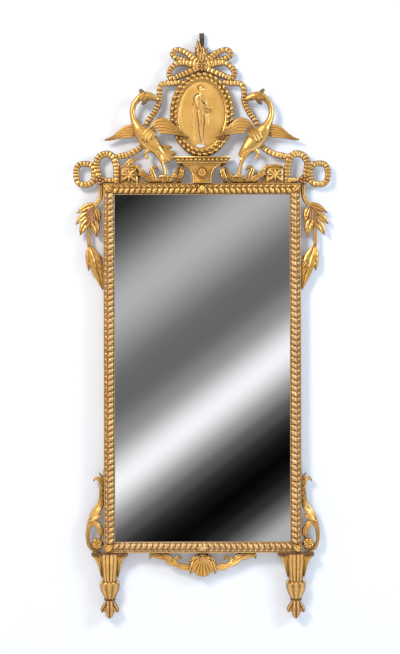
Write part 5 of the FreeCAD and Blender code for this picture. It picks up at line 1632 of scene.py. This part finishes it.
class MIRROR_OT_birds(Operator):
    """Carve the two birds and their wings"""
    bl_idname = "wall_mirror.birds"
    bl_label = "Birds"

    def execute(self, context):
        carve_birds()
        return {"FINISHED"}


class MIRROR_OT_blocks(Operator):
    """Carve the corner blocks and the acanthus on the top rail"""
    bl_idname = "wall_mirror.blocks"
    bl_label = "Blocks and acanthus"

    def execute(self, context):
        carve_blocks()
        return {"FINISHED"}


class MIRROR_OT_sprays(Operator):
    """Carve the leaf sprays beside the frame"""
    bl_idname = "wall_mirror.sprays"
    bl_label = "Leaf sprays"

    def execute(self, context):
        carve_sprays()
        return {"FINISHED"}


class MIRROR_OT_feet(Operator):
    """Carve the drop feet and the side scrolls"""
    bl_idname = "wall_mirror.feet"
    bl_label = "Feet and side scrolls"

    def execute(self, context):
        carve_feet()
        return {"FINISHED"}


class MIRROR_OT_apron(Operator):
    """Carve the shell and the scrolls of the apron"""
    bl_idname = "wall_mirror.apron"
    bl_label = "Apron"

    def execute(self, context):
        carve_apron()
        return {"FINISHED"}


class MIRROR_OT_stage(Operator):
    """Set the wall, the floor, the light and the camera"""
    bl_idname = "wall_mirror.stage"
    bl_label = "Stage"

    def execute(self, context):
        set_stage()
        return {"FINISHED"}


STEPS = (MIRROR_OT_carcass, MIRROR_OT_rope, MIRROR_OT_plinth, MIRROR_OT_medallion, MIRROR_OT_bow,
         MIRROR_OT_ribbons, MIRROR_OT_birds, MIRROR_OT_blocks, MIRROR_OT_sprays, MIRROR_OT_feet,
         MIRROR_OT_apron, MIRROR_OT_stage)
SETTINGS = (("mirror_gilt", GiltSettings), ("mirror_carving", CarvingSettings),
            ("mirror_stage", StageSettings))


class MIRROR_PT_pieces(Panel):
    """Settings and steps of the mirror, in the sidebar"""
    bl_label = "Giltwood mirror"
    bl_space_type = "VIEW_3D"
    bl_region_type = "UI"
    bl_category = "Mirror"

    def draw(self, context):
        for label, group in SETTINGS:
            column = self.layout.column()
            for name in group.__annotations__:
                column.prop(getattr(context.scene, label), name)
        for step in STEPS:
            self.layout.operator(step.bl_idname)


def register():
    for label, group in SETTINGS:
        bpy.utils.register_class(group)
        setattr(bpy.types.Scene, label, PointerProperty(type=group))
    for step in STEPS + (MIRROR_PT_pieces,):
        bpy.utils.register_class(step)


def unregister():
    for step in reversed(STEPS + (MIRROR_PT_pieces,)):
        bpy.utils.unregister_class(step)
    for label, group in reversed(SETTINGS):
        delattr(bpy.types.Scene, label)
        bpy.utils.unregister_class(group)


def main():
    register()
    for step in STEPS:
        section, name = step.bl_idname.split(".")
        getattr(getattr(bpy.ops, section), name)()


if __name__ == "__main__":
    main()
